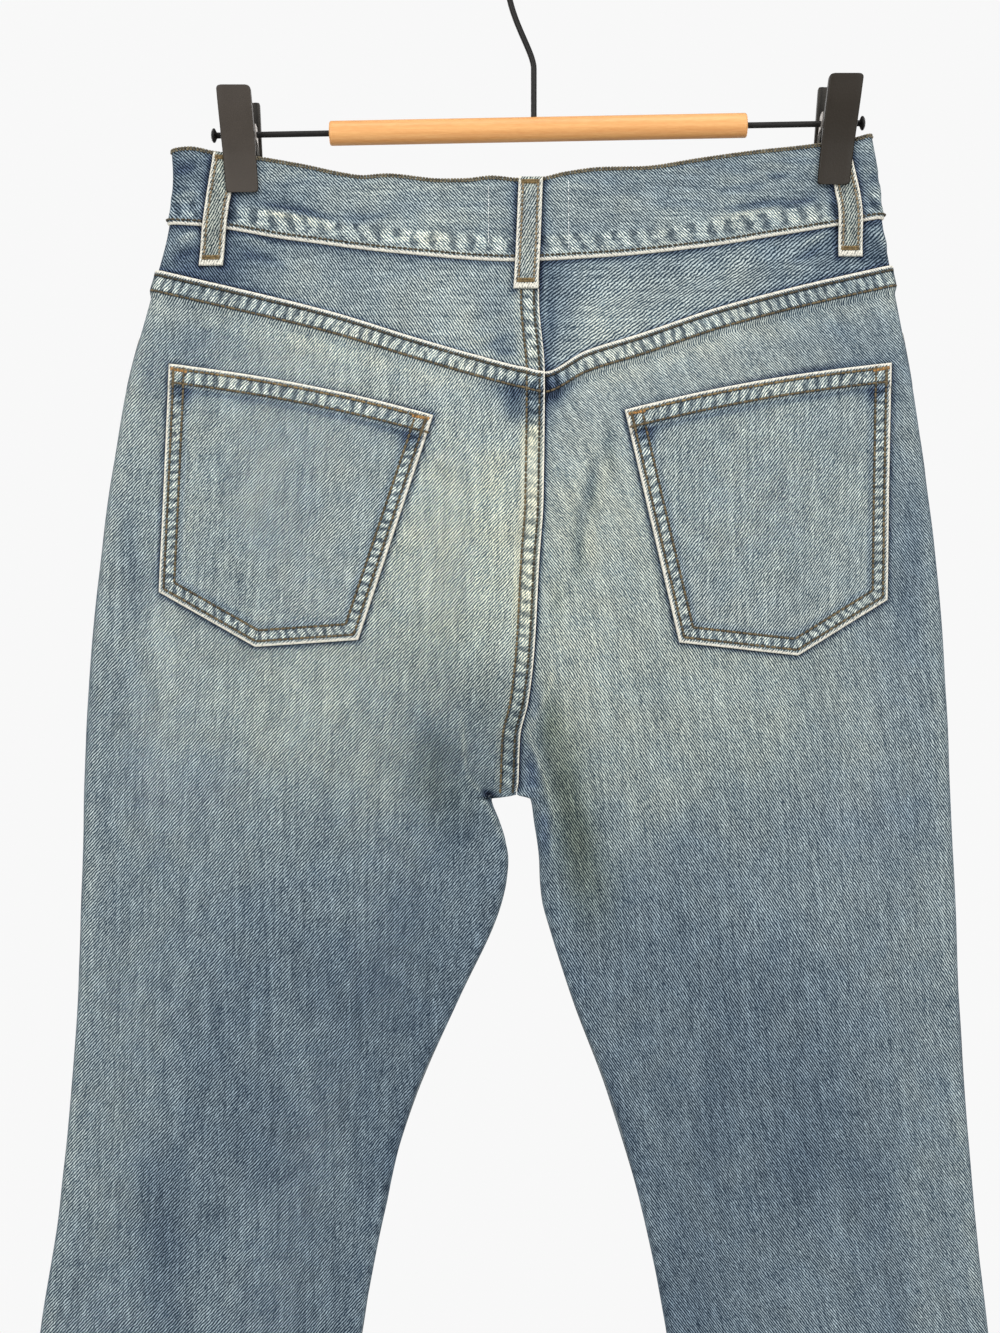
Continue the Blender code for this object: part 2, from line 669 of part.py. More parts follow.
def rail():
    """The wooden bar on its steel rod, both a little off level. Returns the empty that carries them."""
    carrier = bpy.data.objects.new("rail_axis", None)
    jeans.objects.link(carrier)
    carrier.location = (RAIL_CENTRE[0] * MM, 0, RAIL_CENTRE[1] * MM)
    carrier.rotation_euler = (0, -RAIL_TILT, 0)

    bore = ROD_R + BORE_CLEAR
    half, round_off = BAR_LONG / 2, 1.2
    bar = turned(
        "hanger_bar",
        (
            (bore, half),
            (BAR_R - round_off, half),
            (BAR_R, half - round_off),
            (BAR_R, round_off - half),
            (BAR_R - round_off, -half),
            (bore, -half),
        ),
        "wood",
        32,
        carrier,
    )
    bar.rotation_euler = (0, math.pi / 2, 0)
    stem_hole = pin("stem_hole", WIRE_R + BORE_CLEAR, 8, "Z", (STEM_X - RAIL_CENTRE[0], 0, 7.2), carrier)
    cut(bar, stem_hole)

    half = ROD_LONG / 2
    rod = turned(
        "hanger_rod",
        (
            (0, half),
            (CAP_R * 0.6, half - 0.4),
            (CAP_R, half - 1.5),
            (CAP_R * 0.9, half - CAP_LONG),
            (ROD_R, half - CAP_LONG),
            (ROD_R, CAP_LONG - half),
            (CAP_R * 0.9, CAP_LONG - half),
            (CAP_R, 1.5 - half),
            (CAP_R * 0.6, 0.4 - half),
            (0, -half),
        ),
        "dark_metal",
        16,
        carrier,
    )
    rod.rotation_euler = (0, math.pi / 2, 0)
    return carrier


def hook():
    """A stem, a swan neck, and a round of wire whose inside top is the origin."""
    top = Vector((0, 0, WIRE_R - HOOK_R))
    ends = [Vector((STEM_X, 0, STEM_TOP_Z)), Vector((STEM_X, 0, STEM_TOP_Z + 10))]
    ends.append(Vector((NECK_BEND[0], 0, NECK_BEND[1])))
    ends.append(top + HOOK_R * Vector((math.cos(HOOK_FROM), 0, math.sin(HOOK_FROM))))
    neck = []
    for t in np.linspace(0, 1, 9)[:-1]:
        weights = ((1 - t) ** 3, 3 * t * (1 - t) ** 2, 3 * t * t * (1 - t), t**3)
        neck.append(sum((point * float(weight) for weight, point in zip(weights, ends)), Vector()))
    arc = [
        top + HOOK_R * Vector((math.cos(angle), 0, math.sin(angle)))
        for angle in np.linspace(HOOK_FROM, HOOK_TO, 21)
    ]
    points = [Vector((STEM_X, 0, RAIL_CENTRE[1] + 4.0)), *neck, *arc]
    curve = bpy.data.curves.new("hanger_hook", "CURVE")
    curve.dimensions = "3D"
    spline = curve.splines.new("POLY")
    spline.points.add(len(points) - 1)
    for knot, point in zip(spline.points, points):
        knot.co = (*(point * MM), 1)
    curve.bevel_depth = WIRE_R * MM
    curve.bevel_resolution = 2
    curve.use_fill_caps = True
    new_object("hanger_hook", curve, "dark_metal")


def jaw(name, which, carrier):
    """One jaw: a bent plate with two ears round the rod. The back jaw is at -Y and the front one at +Y."""
    side = 1 if which == "front" else -1
    mesh = bpy.data.meshes.new(name)
    points, faces = [], []
    for y, z, wide in zip(JAW["y"], JAW["z"], JAW["wide"]):
        points += [(-wide / 2 * MM, -side * y * MM, z * MM), (wide / 2 * MM, -side * y * MM, z * MM)]
    for i in range(0, len(points) - 2, 2):
        faces.append((i, i + 1, i + 3, i + 2))
    mesh.from_pydata(points, [], faces)
    plate = new_object(name, mesh, "clip_metal", carrier)
    solid = plate.modifiers.new("plate", "SOLIDIFY")
    solid.thickness = JAW_WALL * MM
    solid.offset = 0
    for hand in (-1, 1):
        edge = hand * EAR_X[which]
        near, far = sorted(side * y for y in EAR_Y)
        low, high = (edge - EAR_WALL / 2, near, EAR_Z[0]), (edge + EAR_WALL / 2, far, EAR_Z[1])
        cut(plate, block(f"{name}_ear{hand}", low, high, carrier), "UNION")
    if which == "front":
        cut(plate, block(f"{name}_pad", *PAD, carrier), "UNION")
    cut(plate, pin(f"{name}_bore", ROD_R + EAR_CLEAR, 30, "X", (0, 0, 0), carrier))


def clip(half, rail_axis):
    """A sprung clip on the rod, leaning with the pull of the cloth."""
    carrier = bpy.data.objects.new(f"clip_{half}_axis", None)
    jeans.objects.link(carrier)
    carrier.parent = rail_axis
    carrier.location = ((CLIP_X[half] - RAIL_CENTRE[0] + CLIP_OFFSET[half]) * MM, 0, 0)
    carrier.rotation_euler = (0, RAIL_TILT + CLIP_LEAN[half], 0)
    for which in ("back", "front"):
        jaw(f"clip_{half}_{which}_jaw", which, carrier)
    coil = turned(
        f"clip_{half}_spring",
        ((ROD_R + 0.7, 3.9), (ROD_R + 2.2, 3.9), (ROD_R + 2.2, -3.9), (ROD_R + 0.7, -3.9)),
        "dark_metal",
        20,
        carrier,
    )
    coil.rotation_euler = (0, math.pi / 2, 0)


# ---------------------------------------------------------------- the part


def make_material(name, colour, roughness, metallic):
    material = bpy.data.materials.new(name)
    material.use_nodes = True
    shader = material.node_tree.nodes["Principled BSDF"]
    shader.inputs["Base Color"].default_value = (*colour, 1)
    shader.inputs["Roughness"].default_value = roughness
    shader.inputs["Metallic"].default_value = metallic
    return material


for old in list(bpy.data.objects):
    bpy.data.objects.remove(old)
jeans = bpy.data.collections.new("bootcut_jeans_on_clip_hanger")
cutters = bpy.data.collections.new("cutters")
for collection in (jeans, cutters):
    bpy.context.scene.collection.children.link(collection)
materials = {name: make_material(name, *look) for name, look in COLOURS.items()}

for half_name in ("left", "right"):
    back_panel(half_name)
    front_panel(half_name)
    yoke(half_name)
    back_pocket(half_name)
    pocket_facing(half_name)
waistband()
fly()
waist_button()
for loop_name, look in LOOPS.items():
    belt_loop(loop_name, *look)
hook()
rail_carrier = rail()
for half_name in ("left", "right"):
    clip(half_name, rail_carrier)
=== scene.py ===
"""The looks of a pair of bootcut jeans on a wooden clip hanger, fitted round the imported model.

The jeans hang with their back to the camera: X runs to the right, Y away from the camera and Z up, and the
wearer's left is at -X. The origin is the inside of the hook's top. Tables and sizes are in millimetres, and
meshes are made in metres.
"""

import math

import bmesh
import bpy
import numpy as np
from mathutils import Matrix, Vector


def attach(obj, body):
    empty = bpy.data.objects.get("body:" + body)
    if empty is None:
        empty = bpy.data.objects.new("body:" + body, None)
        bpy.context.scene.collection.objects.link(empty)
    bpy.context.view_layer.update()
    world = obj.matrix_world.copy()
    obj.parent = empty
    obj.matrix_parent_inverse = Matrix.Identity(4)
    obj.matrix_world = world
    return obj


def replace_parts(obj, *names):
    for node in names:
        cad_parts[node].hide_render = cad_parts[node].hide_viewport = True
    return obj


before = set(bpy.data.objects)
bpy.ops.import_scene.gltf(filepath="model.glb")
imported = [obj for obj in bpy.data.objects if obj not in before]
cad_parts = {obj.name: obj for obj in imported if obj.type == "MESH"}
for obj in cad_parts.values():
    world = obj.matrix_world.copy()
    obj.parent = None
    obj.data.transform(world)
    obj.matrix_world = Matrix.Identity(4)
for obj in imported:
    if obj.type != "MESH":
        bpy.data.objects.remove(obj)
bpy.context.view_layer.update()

MM = 0.001
HALVES = ("left", "right")


def table(columns, *rows):
    """The rows as a dictionary of named columns."""
    return dict(zip(columns.split(), np.array(rows, float).T))


# ---------------------------------------------------------------- the body's sizes, as in the CAD model

SEAM_GAP = 0.3
DENIM = 1.4
BAND_WALL = 2.8
LOOP_WALL = 1.5
POCKET_WALL = 1.2
HEM_WALL = 2.8
HEM_DEEP = 13.0
HEM_Z = -1286.0
LEVEL_Z = -330.0
CROTCH_Z = -470.0

SIDE_FOLD = table(
    "z left right",
    (-100, -205.6, 176.4), (-131, -203.9, 182), (-159, -207.5, 185.5), (-192, -216, 191.5),
    (-252, -231.5, 202.5), (-335, -244, 214), (-417, -251.5, 220), (-500, -255, 223.5), (-582, -258, 227),
    (-692, -267.5, 235), (-764, -278, 242.5), (-860, -289.5, 253), (-960, -301, 264), (-1070, -315, 277.5),
    (-1180, -328, 290), (-1286, -337, 299),
)
INNER_SEAM = table(
    "z left right",
    (-100, -4, -4), (-200, -4.8, -4.8), (-241, -1.8, -1.8), (-309, -2.6, -2.6), (-341, -4.8, -4.8),
    (-390, -7.5, -7.5), (-417, -10.7, -10.7), (-436, -15, -15), (-469, -16.3, -16.3), (-471.5, -29.5, -9),
    (-483, -25.5, -7), (-505, -20.5, -3.7), (-516, -21.4, -3.2), (-527, -23.7, -2), (-541, -28.6, 1.7),
    (-582, -47.5, 14.5), (-637, -72, 35), (-692, -87.5, 51.7), (-764, -101.2, 66), (-860, -115.5, 79),
    (-960, -121, 84), (-1070, -119, 81.5), (-1180, -114, 76), (-1286, -109, 71),
)
FRONT_SHIFT = table("z left", (-100, 8.0), (-240, 10.0), (-390, 6.0), (-462, 0.0), (-1286, 0.0))
DEPTH = table(
    "z back front fold",
    (-100, 8, 7.5, 4), (-160, 12, 11, 4), (-200, 17, 15, 4.2), (-240, 21, 19, 4.4), (-300, 25, 22, 4.6),
    (-400, 27, 24, 4.8), (-470, 26, 24, 4.8), (-582, 23, 22, 4.8), (-692, 20, 20, 4.8),
    (-764, 18.5, 18.5, 4.8), (-860, 17.5, 17.5, 4.8), (-1070, 18, 18, 4.8), (-1286, 20, 20, 5),
)
WAIST_TOP = table(
    "x z",
    (-207, -114.8), (-195, -113.6), (-182, -116), (-155, -119.4), (-134, -123.4), (-110, -128.8),
    (-100, -130.2), (-88, -129.4), (-56, -132.5), (-44, -132.4), (-30, -131), (-15, -132.3), (-4, -132),
    (10, -128.9), (30, -126.2), (52, -125.6), (84, -120.6), (110, -116.6), (147, -112), (168, -108.8),
    (180, -105.3),
)
WAIST_BOTTOM = table(
    "x z",
    (-207, -155.5), (-189, -156.5), (-134, -165.5), (-80, -173), (-18, -177.8), (30, -175.5), (84, -169.5),
    (138, -160), (182, -152.5),
)
YOKE_SEAM = table(
    "x z",
    (-216, -181.5), (-168, -193), (-117, -206.5), (-69, -222), (-15, -237.5), (-2, -240.5), (21, -229),
    (50, -219.5), (94, -204), (148, -189), (191, -179),
)
FRONT_DROP = 4.0  # the front's seams lie this far below the back's
CLIP_X = {"left": -166.5, "right": 157.5}
PINCH_HALF, PINCH_WIDE = 3.6, 27.0  # half the thickness between a clip's jaws, and how far its pinch reaches
PINCH_FADE = (-195.0, -150.0)
SEAT_FADE = (-395.0, CROTCH_Z)
CROTCH_FADE = (-467.0, -472.0)

SCOOP_SPAN, SCOOP_DEEP = 92.0, 62.0  # a front pocket's mouth
FACING_FOOT_Z, FACING_REACH = -250.0, 1.25
UNDERLAP, UNDERLAP_FROM = 0.17, 0.93
BUTTON_ACROSS, BUTTON_DROP = 0.92, 22.0
POCKETS = {
    "left": table(
        "x z",
        (-206.3, -233), (-211.6, -358), (-158, -388), (-101.7, -384.3), (-61.2, -263.2),
    ),
    "right": table(
        "x z",
        (41.8, -260.5), (71, -385.7), (136, -392.7), (186.2, -362.2), (188.9, -232.4),
    ),
}
POCKET_POINT = {"left": 0.5, "right": 0.56}
POCKET_BOW = 3.0
# Belt loops: face, the strip's middle at its top, at the band's foot and at its end, its tail, and what it
# crosses on the way.
LOOPS = {
    "belt_loop_centre_back": ("back", (-8.5, -10.4, -11.4), 17.0, 2.0),
    "belt_loop_left_back": ("back", (-175.5, -181.5, -183.5), 22.0, 0.0),
    "belt_loop_right_back": ("back", (159.0, 166.5, 166.5), 19.0, 0.0),
    "belt_loop_left_front": ("front", (-101.0, -102.0, -102.5), 17.0, 0.0),
    "belt_loop_right_front": ("front", (78.0, 79.0, 79.5), 17.0, 0.0),
}
LOOP_WIDE = 13.2


# ---------------------------------------------------------------- the skin, as in the CAD model


def follow(source, key, column, at):
    """The column's value at each value of the key, on a smooth curve that never overshoots a row."""
    order = np.argsort(source[key])
    x, y = source[key][order], source[column][order]
    step = np.diff(x)
    rise = np.diff(y) / step
    slope = np.zeros_like(y)
    same_way = rise[:-1] * rise[1:] > 0
    inner = slope[1:-1]
    inner[same_way] = 2 * rise[:-1][same_way] * rise[1:][same_way] / (rise[:-1] + rise[1:])[same_way]
    slope[0], slope[-1] = rise[0], rise[-1]
    at = np.clip(np.asarray(at, float), x[0], x[-1])
    i = np.clip(np.searchsorted(x, at) - 1, 0, len(step) - 1)
    t = (at - x[i]) / step[i]
    value = y[i] * (1 + 2 * t) * (1 - t) ** 2 + y[i + 1] * t * t * (3 - 2 * t)
    return value + step[i] * (slope[i] * t * (1 - t) ** 2 - slope[i + 1] * t * t * (1 - t))


def ease(start, end, at):
    """0 at start, 1 at end, with a smooth step between."""
    t = np.clip((np.asarray(at, float) - start) / (end - start), 0, 1)
    return t * t * (3 - 2 * t)


def from_fold(travel, radius):
    """How far inwards of a fold the cloth is, after going this far along it."""
    turned = np.clip(travel / radius, 0, math.pi / 2)
    return np.where(
        travel < radius * math.pi / 2,
        radius * (1 - np.cos(turned)),
        travel - radius * (math.pi / 2 - 1),
    )


def swell(inwards, share, depth, radius, turned=1.0):
    """Depth of the cloth at a distance inwards of its fold: the two sides of a lens with round folds."""
    near = np.clip(inwards, 0, radius)
    fold = radius + turned * (np.sqrt(np.clip(2 * radius * near - near**2, 0, None)) - radius)
    belly = depth * np.sin(np.clip(share, 0, 1) * math.pi / 2)
    return (fold**4 + belly**4) ** 0.25


def inner_x(half, face, z):
    inner = follow(INNER_SEAM, "z", half, z) + SEAM_GAP * (-0.7 if half == "left" else 0.7)
    if face == "front":
        inner = inner - follow(FRONT_SHIFT, "z", "left", z)
    return inner


BELLY_Z = np.arange(HEM_Z - 20.0, -80.0, 4.0)
BELLY_SPREAD = 36.0  # the belly's width changes this far above and below the crotch


def belly_lines():
    """The inner seam's line, smoothed up and down, for each half and face."""
    heights = BELLY_Z + np.linspace(-BELLY_SPREAD, BELLY_SPREAD, 19)[:, None]
    places = [(half, face) for half in HALVES for face in ("back", "front")]
    return {place: inner_x(*place, heights).mean(0) for place in places}


BELLY = belly_lines()


def skin(half, face, across, z):
    """Points of the outer skin: across is 0 at the outseam and 1 at the inner seam."""
    across, z = np.broadcast_arrays(np.asarray(across, float), np.asarray(z, float))
    outer = follow(SIDE_FOLD, "z", half, z)
    inner = inner_x(half, face, z)
    depth = follow(DEPTH, "z", face, z)
    radius = follow(DEPTH, "z", "fold", z)
    spare = radius * (math.pi / 2 - 1)
    width = np.abs(inner - outer)

    seat_in = from_fold(across * (width + spare), radius)
    seat_y = swell(seat_in, seat_in / width, depth, radius)
    closed = ease(*CROTCH_FADE, z)
    length = width + spare * (1 + closed)
    to_inseam = (1 - across) * length
    from_inseam = to_inseam + closed * (from_fold(to_inseam, radius) - to_inseam)
    from_outseam = from_fold(across * length, radius)
    nearer = across * length - spare < width / 2
    leg_in = np.where(nearer, from_outseam, width - from_inseam)
    smooth = np.abs(np.interp(z, BELLY_Z, BELLY[half, face]) - outer)
    share = np.minimum(leg_in, smooth - leg_in) / (smooth / 2)
    leg_y = np.where(
        nearer,
        swell(from_outseam, share, depth, radius),
        swell(from_inseam, share, depth, radius, closed),
    )

    leg = ease(*SEAT_FADE, z)
    x = outer + np.sign(inner - outer) * ((1 - leg) * seat_in + leg * leg_in)
    y = (1 - leg) * seat_y + leg * leg_y
    for clip_x in CLIP_X.values():
        pinch = np.exp(-(((x - clip_x) / PINCH_WIDE) ** 4)) * ease(*PINCH_FADE, z)
        y = y + (np.minimum(y, PINCH_HALF) - y) * pinch
    return np.stack([x, y if face == "front" else -y, z], -1)


def outwards(half, face, across, z):
    """Unit normals of the skin, pointing out of the jeans."""
    step_across, step_z = 0.002, 0.5
    across = np.clip(across, 0, 1)
    along = skin(half, face, np.clip(across + step_across, 0, 1), z)
    along = along - skin(half, face, np.clip(across - step_across, 0, 1), z)
    down = skin(half, face, across, np.asarray(z) + step_z) - skin(half, face, across, np.asarray(z) - step_z)
    normal = np.cross(along, down)
    normal /= np.linalg.norm(normal, axis=-1, keepdims=True)
    turned = (half == "left") == (face == "back")
    return normal if turned else -normal


def across_at(half, face, x, z):
    """The place across the skin that has this x, found by halving."""
    x, z = np.broadcast_arrays(np.asarray(x, float), np.asarray(z, float))
    low, high = np.zeros(x.shape), np.ones(x.shape)
    rising = half == "left"
    for _ in range(20):
        middle = (low + high) / 2
        short = (skin(half, face, middle, z)[..., 0] < x) == rising
        low, high = np.where(short, middle, low), np.where(short, high, middle)
    return (low + high) / 2


SEAM_LINES = {"waist_top": WAIST_TOP, "waist_bottom": WAIST_BOTTOM, "yoke": YOKE_SEAM}
solved_seams = {}


def seam_z(line, half, face, across):
    """Height of a seam line at each place across: x depends a little on the height, so it is solved once."""
    key = (line, half, face)
    if key not in solved_seams:
        places = np.linspace(0, 1, 301)
        z = np.full(places.shape, SEAM_LINES[line]["z"].mean())
        for _ in range(6):
            z = follow(SEAM_LINES[line], "x", "z", skin(half, face, places, z)[..., 0])
        if face == "front":
            z = z - FRONT_DROP * ease(0.1, 0.6, places)
        solved_seams[key] = (places, z)
    return np.interp(across, *solved_seams[key])


def panel_span(half, face, z):
    """Length of cloth from the outseam to the inner seam."""
    width = np.abs(inner_x(half, face, z) - follow(SIDE_FOLD, "z", half, z))
    return width + follow(DEPTH, "z", "fold", z) * (math.pi / 2 - 1)


# ---------------------------------------------------------------- unevenness, laps and creases

LATTICE = 97
LAP = 1.8  # the upper layers of a felled seam stand this far off the panel beneath
LAP_FLAT, LAP_END = 10.5, 15.0  # from the edge to the far stitches, and where the lift has gone
OVERHANG = 0.8  # a folded edge lies this far past its seam line
SEAM_LEAN = 0.965  # cosine of the yoke seam's slope
EDGE_ROUND = 0.8  # radius of a folded edge


def patches(u, v, seed):
    """Smooth noise from -1 to 1 with a patch about one unit wide."""
    lattice = np.random.default_rng(seed).uniform(-1, 1, (LATTICE, LATTICE))
    u, v = np.broadcast_arrays(np.asarray(u, float), np.asarray(v, float))
    column, row = np.floor(u).astype(int), np.floor(v).astype(int)
    s, t = u - column, v - row
    s, t = s * s * (3 - 2 * s), t * t * (3 - 2 * t)

    def corner(right, up):
        return lattice[(column + right) % LATTICE, (row + up) % LATTICE]

    lower = corner(0, 0) * (1 - s) + corner(1, 0) * s
    upper = corner(0, 1) * (1 - s) + corner(1, 1) * s
    return lower * (1 - t) + upper * t


# Soft creases: from one end to the other, how far the middle bows to the left of that way, the ridge's
# half width, and its height, which is negative for a trough.
FOLDS = {
    "back": table(
        "x0 z0 x1 z1 bow wide high",
        (-31, -466, -82, -405, 4, 5, -0.5), (-36, -472, -96, -420, 6, 7, 0.4),
        (-1, -469, 52, -414, -4, 5, -0.4), (3, -478, 60, -432, -5, 7, 0.4),
        (-30, -474, -62, -500, 3, 5, -0.6), (4, -394, -11, -436, 2.5, 1.6, 1.4),
        (-11, -432, 4, -480, 1.5, 1.6, 1.8), (4, -472, 4, -508, 0, 1.7, 1.5),
        (-13, -440, -3, -474, 0.5, 2.2, -1), (-13, -455, -4, -460, 0, 1.4, 1.2),
        (-12, -446, -7, -451, 0, 1.4, 1.1), (-11, -466, 1, -469, 1, 1.4, 1.3),
        (-7, -474, 2, -480, 0, 1.4, 1.1), (-6, -484, 3, -490, 0, 1.4, 1.1),
        (-36, -226, -15, -229.5, 0, 2.6, -0.7), (-39, -229.5, -13, -233.8, 0, 1.4, 0.9),
        (-46, -420, -42, -464, -1, 1.5, 1.3), (-44, -456, -23, -496, 2, 1.5, 1.7),
        (-40, -458, -20, -492, 2, 2, -0.9), (-37, -466, -27, -471, 0, 1.6, -2),
        (-34, -470, -24, -480, 0, 1.6, -0.8), (-159, -144.5, -113, -155.5, 1, 2, -1.3),
        (-161, -149, -112, -159.5, 1, 2.2, 0.8), (-113, -153, -84, -152, -1, 2, -0.7),
        (96, -150.5, 133, -144.5, 1, 2.2, -1.3), (88, -155, 130, -148.5, 1, 2.4, 0.9),
        (120, -131, 134, -129.5, 0, 1.6, -0.8), (92, -140, 122, -134, 0, 2, -0.6),
        (150, -141, 128, -147, 0, 2, -1), (176, -132, 186, -130, 0, 2, -0.9),
        (174, -146, 186, -143, 0, 2.4, -0.9), (-206, -128, -190, -124, 0, 2.4, -0.8),
        (-206, -143, -188, -138, 0, 2.4, 0.8), (157, -158, 139, -168, 1, 2.4, 1),
        (152, -168, 132, -177, 1, 2.4, -0.9), (178, -158, 188, -170, 1, 2.6, 0.9),
        (-203, -166, -190, -160, 0, 2.4, 1), (-206, -176, -188, -168, 0, 2.6, -1),
        (-170, -163, -150, -170, 1, 2.4, 0.8), (-168, -172, -142, -180, 1, 3, -0.9),
        (-19, -215, -44, -224, 1, 2.2, 0.8), (-18, -222, -42, -232, 1, 2, 0.8),
        (-20, -208, -38, -214, 1, 2, 0.5), (34, -272, 16, -352, -5, 3, -1.3),
        (40, -274, 23, -350, -5, 3.6, 0.8), (27, -280, 10, -345, -5, 4, 0.5),
        (-60, -430, -150, -500, 10, 16, -0.4), (30, -440, 110, -520, -10, 16, -0.4),
        (-232, -300, -226, -420, 4, 7, -0.9), (205, -290, 202, -400, -4, 7, -0.9),
        (-150, -560, -120, -700, 6, 14, 1), (-210, -640, -196, -800, -5, 13, -1.1),
        (120, -580, 110, -730, -6, 14, 0.9), (176, -660, 190, -800, 5, 12, -1),
        (-60, -600, -92, -690, 4, 9, -0.9), (28, -600, 58, -690, -4, 9, -0.9),
        (-250, -900, -215, -1080, 6, 15, -1.1), (-150, -930, -170, -1120, -6, 14, 0.9),
        (210, -900, 196, -1090, -6, 15, -1.1), (118, -930, 130, -1110, 6, 14, 0.9),
    ),
    "front": table(
        "x0 z0 x1 z1 bow wide high",
        (-22, -462, -100, -398, 6, 7, -1.8), (-28, -470, -120, -424, 8, 8, 1.4),
        (-4, -462, 66, -396, -6, 7, -1.7), (2, -470, 80, -428, -8, 8, 1.4),
        (-30, -380, -120, -352, 6, 6, -1.2), (14, -376, 96, -350, -6, 6, -1.2),
        (-34, -410, -135, -384, 6, 6, 1), (14, -408, 110, -382, -6, 6, 1),
        (-232, -300, -222, -420, 4, 8, -1), (205, -290, 198, -410, -4, 8, -1),
        (-96, -700, -200, -716, 5, 9, -1), (-104, -736, -214, -744, 5, 9, -1.1),
        (62, -704, 168, -718, -5, 9, -1), (70, -738, 184, -748, -5, 9, -1.1),
        (-150, -560, -130, -690, 6, 14, 1), (110, -570, 100, -690, -6, 14, 1),
        (-250, -900, -220, -1080, 6, 15, -1.1), (205, -900, 190, -1080, -6, 15, -1.1),
    ),
}
UNEVEN = 0.7  # how far the cloth's broad unevenness pushes it in and out
UNEVEN_FADE = (-160.0, -300.0)
UNEVEN_SEED = {"back": 3, "front": 8}


def creases(face, x, z):
    """How far the soft creases push the cloth out, in millimetres."""
    raised = np.zeros(np.broadcast(x, z).shape)
    for x0, z0, x1, z1, bow, wide, high in zip(*FOLDS[face].values()):
        long = math.hypot(x1 - x0, z1 - z0)
        along_x, along_z = (x1 - x0) / long, (z1 - z0) / long
        t = np.clip(((x - x0) * along_x + (z - z0) * along_z) / long, 0, 1)
        aside = bow * 4 * t * (1 - t)
        off_x = x - (x0 + t * (x1 - x0) - along_z * aside)
        off_z = z - (z0 + t * (z1 - z0) + along_x * aside)
        raised = raised + high * np.exp(-(off_x**2 + off_z**2) / wide**2) * np.sin(math.pi * t) ** 0.7
    return raised


def relief(face, x, z):
    """How far the creases and the cloth's unevenness push it out."""
    seed = UNEVEN_SEED[face]
    uneven = patches(x / 43, z / 76, seed) + 0.3 * patches(x / 17 + z / 60, z / 31, seed + 1)
    return creases(face, x, z) + UNEVEN * uneven * ease(*UNEVEN_FADE, z)


def pucker(phase, distance, pitch, start, end, seed):
    """The soft puckers that a seam's pull leaves across a strip, from -1 to 1."""
    drift = 0.5 * patches(phase / 23, distance / 30, seed)
    beat = np.cos(2 * math.pi * (phase / pitch + 0.04 * distance + drift))
    inside = ease(start - 1.5, start + 1.5, distance) * (1 - ease(end - 1.5, end + 1.5, distance))
    return (0.6 * beat + 0.7 * patches(phase / pitch * 1.7, distance / 5, seed + 1)) * inside


# Each seam's two rows of stitches, as distances in from the folded edge, and the pitch of its puckers.
YOKE_ROWS, YOKE_PITCH = (2.7, 10.8), 5.6
SEAT_ROWS, SEAT_PITCH = (2.8, 9.7), 6.8
POCKET_ROWS, POCKET_PITCH = (3.0, 8.8), 5.2
POCKET_HEM_ROWS, POCKET_HEM_PITCH = (2.7, 10.3), 6.3
MOUTH_ROWS, MOUTH_PITCH = (2.2, 8.4), 5.4
BAND_ROWS, BAND_PITCH = (4.4, 14.0), 10.0  # the pulled stretch above the band's one row
HEM_ROWS, HEM_PITCH = (0.8, 11.0), 8.0
INSEAM_ROWS, INSEAM_PITCH = (0.8, 6.8), 11.0
NO_EDGE = 99.0  # a distance that is far from any edge


def gathered(shape, *seams):
    """Of several seams, the one that pulls hardest at each point, as four channels.

    Each seam is its length along, the distance in from its edge, the pitch of its blotches, its two rows,
    its pull, and whether both rows are stitched. The channels are the beats along the seam, the share of the
    way from the first row to the second, the pull, and the depth of the grooves along the rows.
    """
    chosen = np.zeros((*shape, 4))
    chosen[..., 1] = 9.0
    best = np.full(shape, 0.02)
    for phase, distance, pitch, (first, second), pull, groove in seams:
        share = (distance - first) / (second - first)
        near = pull * np.exp(-((np.clip(np.abs(share - 0.5) - 0.6, 0, None) / 0.4) ** 2))
        channels = np.stack(np.broadcast_arrays(phase / pitch, share, pull, pull * groove), -1)
        closer = near > best
        chosen = np.where(closer[..., None], channels, chosen)
        best = np.where(closer, near, best)
    return chosen


def lap(distance):
    """Lift of a felled seam at a distance from its folded edge."""
    return LAP * (1 - ease(LAP_FLAT, LAP_END, distance))


def rounded(distance, radius=EDGE_ROUND):
    """How far a folded edge has turned down at this distance from its end."""
    near = np.clip(1 - distance / radius, 0, 1)
    return radius * (1 - np.sqrt(1 - near**2))


def lifted(face, points, normals, lift):
    """The points, pushed out by the creases and a lift, and the way out of the cloth there."""
    raised = relief(face, points[..., 0], points[..., 2]) + lift
    return points + normals * np.asarray(raised)[..., None], normals


def on_body(face, x, z, lift):
    """Points at any x and z of one face, on whichever half they lie, and the way out of the cloth there."""
    x, z = np.broadcast_arrays(np.asarray(x, float), np.asarray(z, float))
    on_left = (x < inner_x("left", face, z) + 0.7 * SEAM_GAP)[..., None]
    found = []
    for half in HALVES:
        across = across_at(half, face, x, z)
        found.append((skin(half, face, across, z), outwards(half, face, across, z)))
    points, normals = (np.where(on_left, left, right) for left, right in zip(*found))
    return lifted(face, points, normals, lift)


def on_half(half, face, across, z, lift):
    """The same at a place across one half."""
    return lifted(face, skin(half, face, across, z), outwards(half, face, across, z), lift)


def line_at(distance, wide):
    """1 on a line and nothing a little way off it."""
    return np.exp(-((distance / wide) ** 2))


def edge_wear(distance, wide=1.35):
    """1 along a folded edge, as far in as the wear goes."""
    return np.exp(-((np.clip(distance, 0, None) / wide) ** 4))
